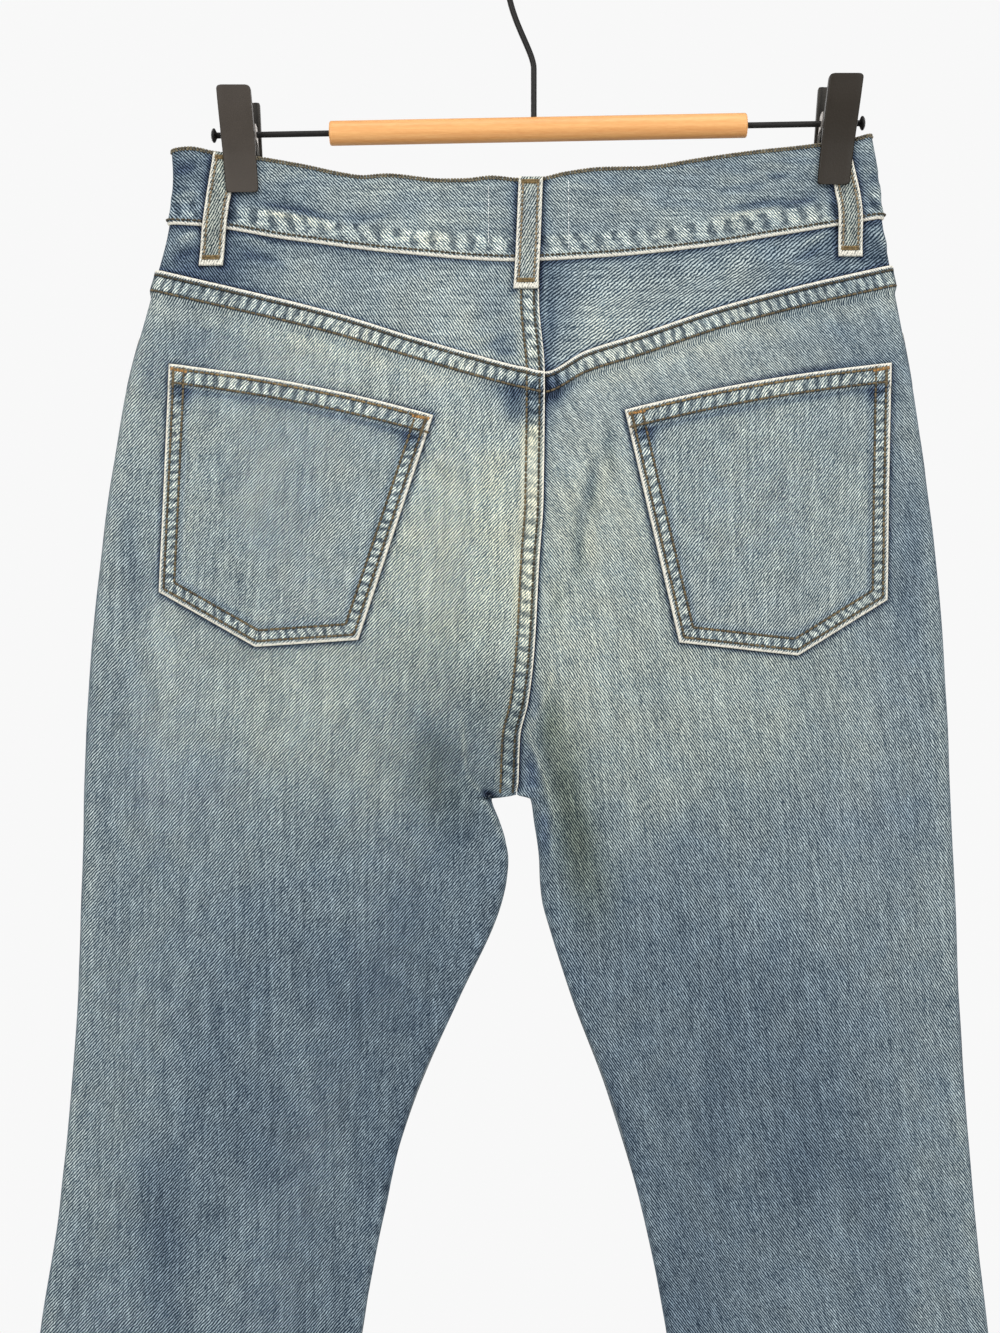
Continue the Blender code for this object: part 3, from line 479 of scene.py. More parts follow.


# ---------------------------------------------------------------- dye, wear and painted shade

# Colours of the cloth as seen, from unwashed to pale, out of 255; the darkest row serves painted shade.
DYE_AND_SHADE = table(
    "wash red green blue",
    (-1.2, 22, 28, 42), (-0.6, 42, 54, 74), (-0.2, 60, 74, 92), (0, 76, 91, 105), (0.25, 99, 114, 125),
    (0.5, 123, 136, 141), (0.75, 149, 160, 160), (1, 175, 181, 172), (1.4, 214, 212, 196),
)
WARM_SHIFT = np.array((5.0, 3.0, -7.0))
REVERSE = (172, 180, 184)  # the inside of the cloth
CREASE_WEAR_AND_SHADE = 0.2  # how much a ridge is worn paler with a painted highlight, and a trough kept darker with painted shade, for each millimetre

# How far each height of the back is washed, beside the outseam, half way and beside the inner seam.
WASH_BACK = {
    "left": table(
        "z outer middle inner",
        (-200, 0.44, 0.46, 0.46), (-252, 0.57, 0.7, 0.58), (-307, 0.54, 0.7, 0.87), (-362, 0.42, 0.68, 0.8),
        (-428, 0.37, 0.58, 0.36), (-500, 0.37, 0.35, 0.18), (-582, 0.34, 0.13, 0.08),
        (-665, 0.4, 0.11, 0.15), (-747, 0.28, 0.25, 0.13), (-860, 0.3, 0.25, 0.18), (-1070, 0.3, 0.22, 0.2),
        (-1286, 0.34, 0.28, 0.28),
    ),
    "right": table(
        "z outer middle inner",
        (-200, 0.38, 0.46, 0.46), (-252, 0.36, 0.64, 0.58), (-307, 0.33, 0.6, 0.78),
        (-362, 0.34, 0.6, 0.72), (-428, 0.35, 0.52, 0.72), (-500, 0.37, 0.34, 0.18),
        (-582, 0.33, 0.13, 0.18), (-665, 0.32, 0.05, 0.16), (-747, 0.33, 0.25, 0.05),
        (-860, 0.32, 0.25, 0.15), (-1070, 0.3, 0.22, 0.2), (-1286, 0.34, 0.28, 0.28),
    ),
}
WASH_FRONT = table(
    "z outer middle inner",
    (-160, 0.34, 0.46, 0.4), (-252, 0.44, 0.68, 0.46), (-380, 0.42, 0.8, 0.46), (-500, 0.36, 0.84, 0.34),
    (-640, 0.28, 0.66, 0.22), (-747, 0.26, 0.5, 0.2), (-860, 0.28, 0.4, 0.22), (-1070, 0.26, 0.36, 0.22),
    (-1286, 0.32, 0.38, 0.28),
)
WASH_PLACES = (0.1, 0.5, 0.93)

# Local stains, fades and painted shade on the back: middle, half size, change of washing and shade, and how
# far they turn greenish.
SPOTS = table(
    "x z wide high wash warm",
    (-11, -250, 13, 7, -0.75, 0), (-26, -250, 11, 6, -0.3, 0), (-19, -259, 5, 8, -0.5, 0),
    (-9, -262, 6, 6, -0.8, 0), (8, -205, 8, 36, -0.22, 0), (-28, -214, 12, 18, -0.2, 0),
    (-196, -196, 12, 14, -0.1, 0), (-160, -190, 10, 12, -0.1, 0), (4, -251, 6, 9, -0.7, 0),
    (12, -246, 10, 7, -0.4, 0), (-9, -275, 5, 14, 0.2, 0.4), (2, -212, 3.5, 34, -0.45, 0),
    (-24, -224, 7, 9, -0.4, 0), (-30, -200, 14, 10, -0.15, 0), (14, -205, 10, 16, -0.18, 0),
    (3, -430, 7, 15, -0.26, 1), (10, -460, 10, 24, -0.4, 1.3), (17, -492, 11, 22, -0.26, 1.5),
    (24, -520, 14, 22, -0.1, 1), (-8, -456, 5, 15, -0.3, -1), (-1, -486, 4, 14, -0.25, -0.6),
    (-6, -420, 4, 12, -0.12, -0.8), (-32, -469, 4, 2, -0.95, 0), (-90, -464, 18, 24, 0.2, 0),
    (-63, -456, 12, 22, -0.28, 0.7), (-50, -474, 10, 14, -0.12, 0.3), (-1, -434, 6, 32, -0.36, 0.3),
    (-16, -446, 6, 16, -0.24, 0), (54, -478, 20, 24, 0.3, 0), (34, -502, 12, 14, 0.14, 0),
    (34, -282, 3.5, 14, -0.36, 0.5), (25, -304, 3.5, 13, -0.5, 0.6), (17, -336, 4.5, 18, -0.34, 0.6),
    (6, -363, 4.5, 14, -0.24, 0.5), (-60, -385, 26, 20, -0.1, 0.3), (-150, -425, 55, 22, 0.06, 0),
    (120, -430, 50, 20, 0.05, 0), (-190, -465, 40, 18, -0.08, -0.2), (165, -480, 40, 22, -0.1, -0.2),
    (-216, -240, 8, 16, -0.15, 0), (196, -240, 8, 16, -0.15, 0), (-192, -180, 16, 9, -0.34, 0),
    (-171, -177, 12, 12, -0.34, 0), (157, -171, 12, 13, -0.3, 0), (180, -170, 8, 14, -0.3, 0),
    (-214, -382, 20, 28, 0.3, 0), (-206, -440, 18, 44, 0.16, 0), (130, -186, 34, 24, -0.2, 0),
    (28, -210, 22, 18, 0.17, 0), (-192, -222, 14, 14, -0.2, 0), (-5, -257, 12, 10, -0.2, 0),
    (-133, -638, 18, 44, -0.15, 0), (104, -650, 20, 50, -0.18, 0), (190, -704, 14, 28, 0.16, 0),
    (170, -436, 16, 50, 0.14, 0),
)


def from_srgb(colour):
    """Linear values of a colour that is given out of 255."""
    share = np.asarray(colour, float) / 255
    return np.where(share <= 0.04045, share / 12.92, ((share + 0.055) / 1.055) ** 2.4)


def dyed_and_shaded(wash, warm=0.0):
    """Linear colour of the cloth at a level of washing and painted shade, turned greenish by warm."""
    wash, warm = np.broadcast_arrays(wash, warm)
    seen = np.stack([np.interp(wash, DYE_AND_SHADE["wash"], DYE_AND_SHADE[name]) for name in ("red", "green", "blue")], -1)
    return from_srgb(np.clip(seen + warm[..., None] * WARM_SHIFT, 8, 250))


def washed(half, face, across, z):
    """The panel's share of washing, before its seams, stains and painted shade."""
    levels = WASH_BACK[half] if face == "back" else WASH_FRONT
    columns = [follow(levels, "z", name, z) for name in ("outer", "middle", "inner")]
    near, far = ease(WASH_PLACES[0], WASH_PLACES[1], across), ease(WASH_PLACES[1], WASH_PLACES[2], across)
    return columns[0] * (1 - near) + columns[1] * (near - far) + columns[2] * far


def stains_and_shade(x, z):
    """Washing, painted shade and warmth that the local spots add."""
    wash, warm = np.zeros(np.shape(x)), np.zeros(np.shape(x))
    for spot_x, spot_z, wide, high, change, green in zip(*SPOTS.values()):
        near = np.exp(-(((x - spot_x) / wide) ** 2) - ((z - spot_z) / high) ** 2)
        wash, warm = wash + change * near, warm + green * near
    return wash, warm


def cloudy(x, z, seed):
    """The vague clouds of a stone wash, from -1 to 1."""
    return 0.6 * patches(x / 26, z / 44, seed) + 0.4 * patches(x / 9, z / 21, seed + 1)


# ---------------------------------------------------------------- meshes

INSIDE_SHIFT = 7.3  # the inside's weave is laid out this far from the outside's
NO_SEAM = (0, 9, 0, 0)  # the inside's seam channels


def add_object(name, data):
    made = bpy.data.objects.new(name, data)
    bpy.context.scene.collection.objects.link(made)
    return made


def new_piece(name, points, faces, material):
    """A mesh piece in millimetres, whose faces are arrays of corners, riding on the one body."""
    mesh = bpy.data.meshes.new(name)
    mesh.vertices.add(len(points))
    mesh.vertices.foreach_set("co", (np.asarray(points) * MM).astype(np.float32).ravel())
    corners = np.concatenate([group.ravel() for group in faces])
    sizes = np.concatenate([np.full(len(group), group.shape[1]) for group in faces])
    mesh.loops.add(len(corners))
    mesh.loops.foreach_set("vertex_index", corners.astype(np.int32))
    mesh.polygons.add(len(sizes))
    mesh.polygons.foreach_set("loop_start", (np.cumsum(sizes) - sizes).astype(np.int32))
    mesh.update(calc_edges=True)
    mesh.shade_smooth()
    mesh.materials.append(material)
    piece = add_object(name, mesh)
    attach(piece, "root")
    return piece


def set_attribute(piece, name, kind, values):
    """Values on the piece's points: colours have four channels."""
    made = piece.data.attributes.new(name, kind, "POINT")
    key = "color" if kind == "FLOAT_COLOR" else "value"
    made.data.foreach_set(key, np.asarray(values, np.float32).ravel())


def set_uv(piece, name, places):
    mesh = piece.data
    corners = np.empty(len(mesh.loops), np.int32)
    mesh.loops.foreach_get("vertex_index", corners)
    layer = mesh.uv_layers.new(name=name)
    layer.data.foreach_set("uv", places[corners].astype(np.float32).ravel())


def travelled(points):
    """Length along a path up to each of its points."""
    return np.concatenate([[0], np.cumsum(np.linalg.norm(np.diff(points, axis=0), axis=1))])


def values_at(values, travel, at):
    """A path's points or normals at lengths along it."""
    return np.stack([np.interp(at, travel, column) for column in values.T], -1)


def arc_lengths(points, axis):
    """Length along the grid's rows or columns up to each point."""
    steps = np.linalg.norm(np.diff(points, axis=axis), axis=-1)
    lead = np.zeros_like(np.take(steps, [0], axis))
    return np.concatenate([lead, np.cumsum(steps, axis)], axis)


def flat_size(points):
    """Width, length and area of a grid of cloth laid flat, in metres."""
    wide = arc_lengths(points, 1)[:, -1].max() * MM
    long = arc_lengths(points, 0)[-1].max() * MM
    one = np.cross(points[1:, :-1] - points[:-1, :-1], points[:-1, 1:] - points[:-1, :-1])
    two = np.cross(points[1:, :-1] - points[1:, 1:], points[:-1, 1:] - points[1:, 1:])
    area = (np.linalg.norm(one, axis=-1).sum() + np.linalg.norm(two, axis=-1).sum()) / 2 * MM * MM
    return float(wide), float(long), min(float(area), wide * long)


def closed_faces(outer, inner):
    """The faces of a closed shell whose points are the outer grid's and then the inner grid's."""
    rows, columns = outer.shape[:2]
    count = rows * columns
    at = np.arange(count).reshape(rows, columns)
    quads = np.stack([at[:-1, :-1], at[1:, :-1], at[1:, 1:], at[:-1, 1:]], -1).reshape(-1, 4)
    rim = np.concatenate([at[0, :], at[1:, -1], at[-1, -2::-1], at[-2:0:-1, 0]])
    after = np.roll(rim, -1)
    sides = np.stack([rim, after, after + count, rim + count], -1)
    faces = np.concatenate([quads, quads[:, ::-1] + count, sides])
    middle = (rows // 2, columns // 2)
    down = outer[middle[0] + 1, middle[1]] - outer[middle]
    along = outer[middle[0], middle[1] + 1] - outer[middle]
    return faces if np.cross(down, along) @ (outer[middle] - inner[middle]) > 0 else faces[:, ::-1]


def tube_faces(rows, sides):
    """The side faces of a tube through rings of points, and the caps at its two ends."""
    at = np.arange(rows * sides).reshape(rows, sides)
    beside = np.roll(at, -1, 1)
    quads = np.stack([at[:-1], beside[:-1], beside[1:], at[1:]], -1).reshape(-1, 4)
    return quads, np.stack([at[0][::-1], at[-1]])


def leaning(u, v, degrees):
    """The flat places u and v, measured along axes that lean this far."""
    lean = math.radians(degrees)
    return u * math.cos(lean) + v * math.sin(lean), v * math.cos(lean) - u * math.sin(lean)


def shell(name, outer, inner, wash, warm, wear, twill, seams=(), turn=0.0, along=None):
    """A closed piece of cloth between two grids of points.

    Its dye with painted shade, wear and seams lie on its points. Its weave is laid out flat in millimetres:
    turn leans the warp from upright, and twill is the slope of the twill lines, both in degrees.
    """
    count = outer.shape[0] * outer.shape[1]
    points = np.concatenate([outer.reshape(-1, 3), inner.reshape(-1, 3)])
    piece = new_piece(name, points, [closed_faces(outer, inner)], materials["denim"])
    piece.data.set_sharp_from_angle(angle=math.radians(60))

    tones = np.ones((2 * count, 4))
    tones[:count, :3] = dyed_and_shaded(np.broadcast_to(wash, outer.shape[:2]), warm).reshape(-1, 3)
    tones[count:, :3] = from_srgb(REVERSE)
    set_attribute(piece, "tone", "FLOAT_COLOR", tones)
    set_attribute(piece, "wear", "FLOAT", np.concatenate([wear.ravel(), np.zeros(count)]))
    pulls = gathered(outer.shape[:2], *seams).reshape(-1, 4)
    set_attribute(piece, "seam", "FLOAT_COLOR", np.concatenate([pulls, np.tile(NO_SEAM, (count, 1))]))

    u = arc_lengths(outer, 1) + outer[:, :1, 0] if along is None else along
    v = outer[..., 2]
    for layer, places in (("weave", leaning(u, v, turn)), ("twill", leaning(u, v, twill)[::-1])):
        both = np.stack(places, -1).reshape(-1, 2)
        set_uv(piece, layer, np.concatenate([both, both + INSIDE_SHIFT]))
    wide, long, area = flat_size(outer)
    return piece


# ---------------------------------------------------------------- materials


def node(tree, kind, inputs=None, **settings):
    """A shader node, with its inputs set or linked."""
    made = tree.nodes.new(kind)
    for name, value in settings.items():
        setattr(made, name, value)
    for name, value in (inputs or {}).items():
        if isinstance(value, bpy.types.NodeSocket):
            tree.links.new(value, made.inputs[name])
        else:
            made.inputs[name].default_value = value
    return made


def maths(tree, operation, first, second=0.0, third=0.0):
    return node(tree, "ShaderNodeMath", {0: first, 1: second, 2: third}, operation=operation).outputs[0]


def vector(tree, operation, *values):
    """A sum, product or maximum, axis by axis."""
    return node(tree, "ShaderNodeVectorMath", dict(enumerate(values)), operation=operation).outputs[0]


def combined(tree, *values):
    return node(tree, "ShaderNodeCombineXYZ", dict(enumerate(values))).outputs[0]


def separate(tree, value):
    return node(tree, "ShaderNodeSeparateXYZ", {0: value}).outputs


def noise(tree, place, scale, detail=2.0, rough=0.5):
    """Noise about 0, mostly between -1 and 1: a scale along each axis stretches it."""
    if isinstance(scale, tuple):
        place, scale = vector(tree, "MULTIPLY", place, scale), 1.0
    inputs = {"Vector": place, "Scale": scale, "Detail": detail, "Roughness": rough}
    return maths(tree, "MULTIPLY_ADD", node(tree, "ShaderNodeTexNoise", inputs).outputs["Fac"], 4.0, -2.0)


def new_material(name, roughness, metallic=0.0):
    material = bpy.data.materials.new(name)
    material.use_nodes = True
    tree = material.node_tree
    shader = tree.nodes["Principled BSDF"]
    shader.inputs["Roughness"].default_value = roughness
    shader.inputs["Metallic"].default_value = metallic
    return material, tree, shader


def bumped(tree, shader, height, strength, distance):
    bump = node(tree, "ShaderNodeBump", {"Height": height, "Strength": strength, "Distance": distance})
    tree.links.new(bump.outputs["Normal"], shader.inputs["Normal"])


def opaque(colour):
    return (*from_srgb(colour), 1)


TWILL_PITCH = 1.3
CREAM = (248, 243, 228)
TWILL_SHARE, GRAIN = 1.05, (0.66, 0.57, 0.48)  # how strongly the pattern turns each colour paler and darker
DARKEST = (0.13, 0.18, 0.25)  # the least share of each colour that the pattern leaves
SEAM_CONTRAST = (2.85, 2.6, 2.3)  # each colour's factor for one step of a seam's paleness, and of the painted shade in its grooves


def denim_material():
    """Washed twill: pale and dark yarns, slubs, a seam's blotches, painted shade in the grooves along its
    rows, and edges worn to cream.
    """
    material, tree, shader = new_material("washed_denim", 0.9)
    shader.inputs["Specular IOR Level"].default_value = 0.1
    tone = node(tree, "ShaderNodeAttribute", attribute_name="tone").outputs["Color"]
    wear = node(tree, "ShaderNodeAttribute", attribute_name="wear").outputs["Fac"]
    seam = node(tree, "ShaderNodeAttribute", attribute_name="seam").outputs
    channels = separate(tree, seam["Color"])
    beats, share, pull, groove_deep = channels["X"], channels["Y"], channels["Z"], seam["Alpha"]
    weave = node(tree, "ShaderNodeUVMap", uv_map="weave").outputs["UV"]
    lines = node(tree, "ShaderNodeUVMap", uv_map="twill").outputs["UV"]

    def product(*factors):
        """The product of values, from the first to the last."""
        total = factors[0]
        for factor in factors[1:]:
            total = maths(tree, "MULTIPLY", total, factor)
        return total

    def weighted(first, *parts):
        """The sum of parts, each with its share."""
        total = first
        for part, portion in parts:
            total = maths(tree, "MULTIPLY_ADD", part, portion, total)
        return total

    def band(value, low, high):
        """0 at low and 1 at high, with a smooth step between."""
        inputs = {"Value": value, "From Min": low, "From Max": high}
        return node(tree, "ShaderNodeMapRange", inputs, interpolation_type="SMOOTHSTEP").outputs["Result"]

    wobble = product(noise(tree, weave, 0.3, 2.0), 1.5)
    phase = maths(tree, "MULTIPLY_ADD", separate(tree, lines)["X"], 2 * math.pi / TWILL_PITCH, wobble)
    ridge = maths(tree, "TANH", product(maths(tree, "SINE", phase), 1.8))
    dashes = noise(tree, lines, (1.25, 0.42, 1), 2.0, 0.6)
    yarns = noise(tree, weave, (1.3, 0.09, 1), 2.0, 0.55)
    slubs = noise(tree, weave, (0.42, 0.018, 1), 2.0, 0.5)
    streaks = noise(tree, lines, (0.8, 0.13, 1), 2.0, 0.5)
    specks = noise(tree, weave, 0.9, 2.0, 0.6)
    mottle = noise(tree, weave, 0.09, 3.0, 0.55)

    # The seam's pull: slanting blotches between its rows of stitches, and a groove along each row, bumped and
    # darkened with painted shade.
    drift = noise(tree, combined(tree, beats, share), (0.4, 0.5, 1))
    loose = noise(tree, combined(tree, beats, share), (1.9, 1.6, 1), 3.0)
    turn = weighted(beats, (share, 0.3), (drift, 0.3))
    beat = maths(tree, "COSINE", product(turn, 2 * math.pi))
    inside = product(band(share, -0.06, 0.08), band(share, 1.06, 0.86))
    blotch = maths(tree, "TANH", weighted(0.4, (beat, 1.5), (loose, 1.7), (dashes, 0.5)))
    blotch = product(blotch, product(inside, pull))
    near_first = band(maths(tree, "ABSOLUTE", share), 0.16, 0.05)
    near_second = band(maths(tree, "ABSOLUTE", maths(tree, "SUBTRACT", share, 1.0)), 0.16, 0.05)
    groove = product(maths(tree, "MAXIMUM", near_first, near_second), groove_deep)

    # The weave's pattern, stronger in darker cloth, as a factor of each colour.
    broken = maths(tree, "MAXIMUM", weighted(1.0, (dashes, 0.35), (mottle, 0.15)), 0.3)
    pattern = weighted(product(ridge, broken, TWILL_SHARE), (dashes, 0.54), (yarns, 0.44), (slubs, 0.34))
    pattern = weighted(pattern, (specks, 0.62), (streaks, 0.28), (mottle, 0.14))
    paleness = separate(tree, tone)["Y"]
    contrast = maths(tree, "MAXIMUM", maths(tree, "MULTIPLY_ADD", paleness, -4.4, 3.2), 0.8)
    tint = product(noise(tree, weave, 0.05, 3.0), 0.05)
    balance = combined(tree, maths(tree, "ADD", tint, 1.05), 1.045, maths(tree, "SUBTRACT", 1.02, tint))
    light = vector(tree, "MULTIPLY_ADD", product(pattern, contrast), GRAIN, balance)
    cloth = vector(tree, "MULTIPLY", tone, vector(tree, "MAXIMUM", light, DARKEST))
    # the blotches' pale and dark wear, and painted shade in the grooves
    depth = weighted(0.0, (blotch, 1.2), (maths(tree, "MAXIMUM", blotch, 0.0), -0.75), (groove, -1.4))
    pulled = combined(tree, *[maths(tree, "POWER", base, depth) for base in SEAM_CONTRAST])
    cloth = vector(tree, "MULTIPLY", cloth, pulled)

    bare = weighted(maths(tree, "ADD", wear, 0.05), (specks, 0.6), (dashes, 0.3), (ridge, 0.25))
    held = maths(tree, "MINIMUM", product(wear, 3.0), 1.0)
    mixed = node(tree, "ShaderNodeMix", data_type="RGBA", clamp_factor=True)
    tree.links.new(product(bare, held), mixed.inputs["Factor"])
    tree.links.new(cloth, mixed.inputs["A"])
    mixed.inputs["B"].default_value = opaque(CREAM)
    tree.links.new(mixed.outputs["Result"], shader.inputs["Base Color"])
    height = weighted(0.0, (ridge, 0.1), (dashes, 0.07), (yarns, 0.05), (blotch, 0.3), (groove, -0.35))
    bumped(tree, shader, height, 0.8, MM)
    return material


def thread_material():
    """Sewing thread, its colour on its points, with a twist."""
    material, tree, shader = new_material("topstitch_thread", 0.6)
    place = node(tree, "ShaderNodeTexCoord").outputs["Object"]
    tone = node(tree, "ShaderNodeAttribute", attribute_name="tone").outputs["Color"]
    light = maths(tree, "MULTIPLY_ADD", noise(tree, place, 2600.0, 2.0), 0.16, 1.0)
    tree.links.new(vector(tree, "MULTIPLY", tone, light), shader.inputs["Base Color"])
    return material


def metal_material(name, colour, roughness, metallic, uneven=0.15):
    """Painted or bare metal with a fine uneven gloss."""
    material, tree, shader = new_material(name, roughness, metallic)
    place = node(tree, "ShaderNodeTexCoord").outputs["Object"]
    fine, broad = noise(tree, place, 900.0, 3.0), noise(tree, place, 75.0, 2.0)
    light = maths(tree, "MULTIPLY_ADD", broad, uneven, maths(tree, "MULTIPLY_ADD", fine, uneven / 2, 1.0))
    tree.links.new(vector(tree, "MULTIPLY", light, tuple(from_srgb(colour))), shader.inputs["Base Color"])
    gloss = maths(tree, "MULTIPLY_ADD", broad, 0.06, maths(tree, "MULTIPLY_ADD", fine, 0.05, roughness))
    tree.links.new(gloss, shader.inputs["Roughness"])
    bumped(tree, shader, fine, 0.15, 0.0001)
    shader.inputs["Specular IOR Level"].default_value = 0.3
    return material


def wood_material():
    """Smooth orange beech: long fine grain along X with short darker flecks."""
    material, tree, shader = new_material("beech", 0.42)
    place = node(tree, "ShaderNodeTexCoord").outputs["Object"]
    grain = noise(tree, place, (14, 420, 420), 4.0, 0.6)
    flecks = noise(tree, place, (160, 1500, 1500), 2.0, 0.6)
    mixed = maths(tree, "MULTIPLY_ADD", flecks, 0.25, maths(tree, "MULTIPLY_ADD", grain, 0.35, 0.5))
    ramp = node(tree, "ShaderNodeValToRGB", {"Fac": mixed})
    ramp.color_ramp.elements[0].color = opaque((223, 151, 85))
    ramp.color_ramp.elements[1].color = opaque((245, 187, 119))
    tree.links.new(ramp.outputs["Color"], shader.inputs["Base Color"])
    bumped(tree, shader, flecks, 0.12, 0.0001)
    return material


def plain_cloth_material(name, colour):
    """A closely woven plain cloth or tape."""
    material, tree, shader = new_material(name, 0.85)
    place = node(tree, "ShaderNodeTexCoord").outputs["Object"]
    yarns = noise(tree, place, (1800, 1800, 500), 2.0)
    light = maths(tree, "MULTIPLY_ADD", yarns, 0.22, 1.0)
    tree.links.new(vector(tree, "MULTIPLY", light, tuple(from_srgb(colour))), shader.inputs["Base Color"])
    bumped(tree, shader, yarns, 0.4, 0.0002)
    return material


materials = {
    "denim": denim_material(),
    "thread": thread_material(),
    "wood": wood_material(),
    "black_steel": metal_material("black_steel", (40, 39, 38), 0.42, 0.6),
    "clip_left": metal_material("clip_enamel_left", (64, 57, 50), 0.5, 0.0, 0.06),
    "clip_right": metal_material("clip_enamel_right", (40, 33, 24), 0.5, 0.0, 0.06),
    # the front jaws: the same enamel, a darker copy for painted shade
    "clip_front_shaded": metal_material("clip_enamel_front_shaded", (46, 42, 36), 0.5, 0.0, 0.06),
    "spring": metal_material("bright_spring", (178, 172, 166), 0.42, 0.8, 0.05),
    "copper": metal_material("antique_copper", (150, 108, 78), 0.38, 1.0),
    "tape": plain_cloth_material("zip_tape", (44, 48, 60)),
    "inner_denim": plain_cloth_material("unwashed_denim", (84, 98, 118)),
}


# ---------------------------------------------------------------- panels of cloth

SEAM_STEPS = (0.0, 0.35, 0.8, 1.3, 1.9, 2.8, 4.0, 5.4, 6.8, 8.2, 9.6, 11.0, 12.5, 14.0, 15.5)
CREASED_STEPS = np.arange(17.0, 40.0, 1.5)
NOMINAL_SPAN = 230.0  # about a panel's width
UPPER_SPAN = 74.0  # about the height of the rows that follow its top seam
SEAT_LAP_END = (-462, -470)  # between these heights the middle seam's lap fades out
SMOOTH_Z, SMOOTH_HIGH = -290, 22  # where the middle seam is hardly pulled
# The slope of the twill lines on each piece of the left half and of the right one, in degrees.
TWILL = {"back": (47.0, 60.0), "yoke": (128.0, 147.0), "front": (132.0, 120.0), "pocket": (46.0, 52.0)}
YOKE_WASH = table("across left right", (0.05, 0.28, 0.48), (0.5, 0.52, 0.58), (0.85, 0.7, 0.58))


def fine_steps(*stretches):
    """Places along a line: each stretch is its far end and the step used as far as there."""
    places = [0.0]
    for end, step in stretches:
        count = max(1, round((end - places[-1]) / step))
        places.extend(np.linspace(places[-1], end, count + 1)[1:])
    return np.array(places)


def panel_columns(step):
    """Places across a panel: close together round the outseam's fold and beside the inner seam."""
    inner = 1 - np.concatenate([SEAM_STEPS, CREASED_STEPS])[::-1] / NOMINAL_SPAN
    outer = fine_steps((8, 1.0), (NOMINAL_SPAN - CREASED_STEPS[-1], step)) / NOMINAL_SPAN
    return np.concatenate([outer[:-1], inner])


def seat_lap(half, face, across, z):
    """Lift and distance of the middle seam's lap: the left half lies over the right one."""
    distance = (1 - across) * panel_span(half, face, z) + OVERHANG
    fade = 1 - ease(*SEAT_LAP_END, z)
    return (lap(distance) * fade if half == "left" else np.zeros(np.shape(z))), distance, fade


def back_lift(half, across, z):
    """The back panel laps over the yoke, and the left one over the right one."""
    below = (seam_z("yoke", half, "back", across) - z) * SEAM_LEAN + OVERHANG
    return lap(below) + yoke_lift(half, across, z)


def yoke_lift(half, across, z):
    return seat_lap(half, "back", across, z)[0]


def join_edge(half, across, z, fade):
    """Moves the last columns of the left half past the seam line, where it laps over the right one."""
    span = panel_span(half, "back", z)
    past = OVERHANG / span * fade if half == "left" else -0.5 * SEAM_GAP / span
    past = past - 0.5 * SEAM_GAP / span * (1 - fade) if half == "left" else past
    return across + past * ease(0.9, 1.0, across)


def panel_rows(top, step, level):
    """Heights of a panel's rows: below its top seam at first, and level lower down."""
    upper = [top - distance for distance in SEAM_STEPS]
    shares = fine_steps((1.0, step / UPPER_SPAN))[1:]
    upper += [upper[-1] + (LEVEL_Z - upper[-1]) * share for share in shares]
    return np.concatenate([np.array(upper), np.repeat(level[:, None], len(top), 1)])


def level_rows(seat_step, thigh_step, leg_step):
    """Level rows from below the seat's top to the hem, close together at the crotch and at the hem's edge."""
    crotch, hem = LEVEL_Z - CROTCH_Z, LEVEL_Z - HEM_Z
    down = fine_steps(
        (crotch - 6, seat_step),
        (crotch + 3, 0.8),
        (crotch + 50, seat_step),
        (crotch + 300, thigh_step),
        (hem - HEM_DEEP - 2, leg_step),
        (hem, 1.2),
    )
    return LEVEL_Z - down[1:]


def hem_lift(phase, up, seed):
    """The turned-up hem is thicker, its edge rolls, and its seam puckers."""
    thick = 0.9 * (1 - ease(HEM_DEEP - 1.5, HEM_DEEP + 1.5, up))
    return thick, 0.3 * pucker(phase, up, HEM_PITCH, 1, 10, seed)


def panel_sides(half, face, across, z, below, lift):
    """The outside and the inside of a panel, whose folded edges turn down and whose hem is turned up."""
    _, from_seam, fade = seat_lap(half, face, across, z)
    up = z - HEM_Z
    beside = np.where(fade * (half == "left") > 0.5, from_seam, NO_EDGE)
    edge = np.minimum(np.minimum(below, up + 0.3), beside)
    outer, normals = on_half(half, face, join_edge(half, across, z, fade), z, lift - rounded(edge))
    wall = np.where(up < HEM_DEEP - 1, HEM_WALL - 0.6, DENIM)[..., None]
    return outer, outer - normals * wall


def panel_nodes(face, half):
    """The CAD strips that one panel of cloth stands for."""
    strips = [(part, strip) for part in ("seat", "thigh", "leg") for strip in ("side", "inner")]
    return [f"{face}_{half}_{part}_{strip}" for part, strip in strips]


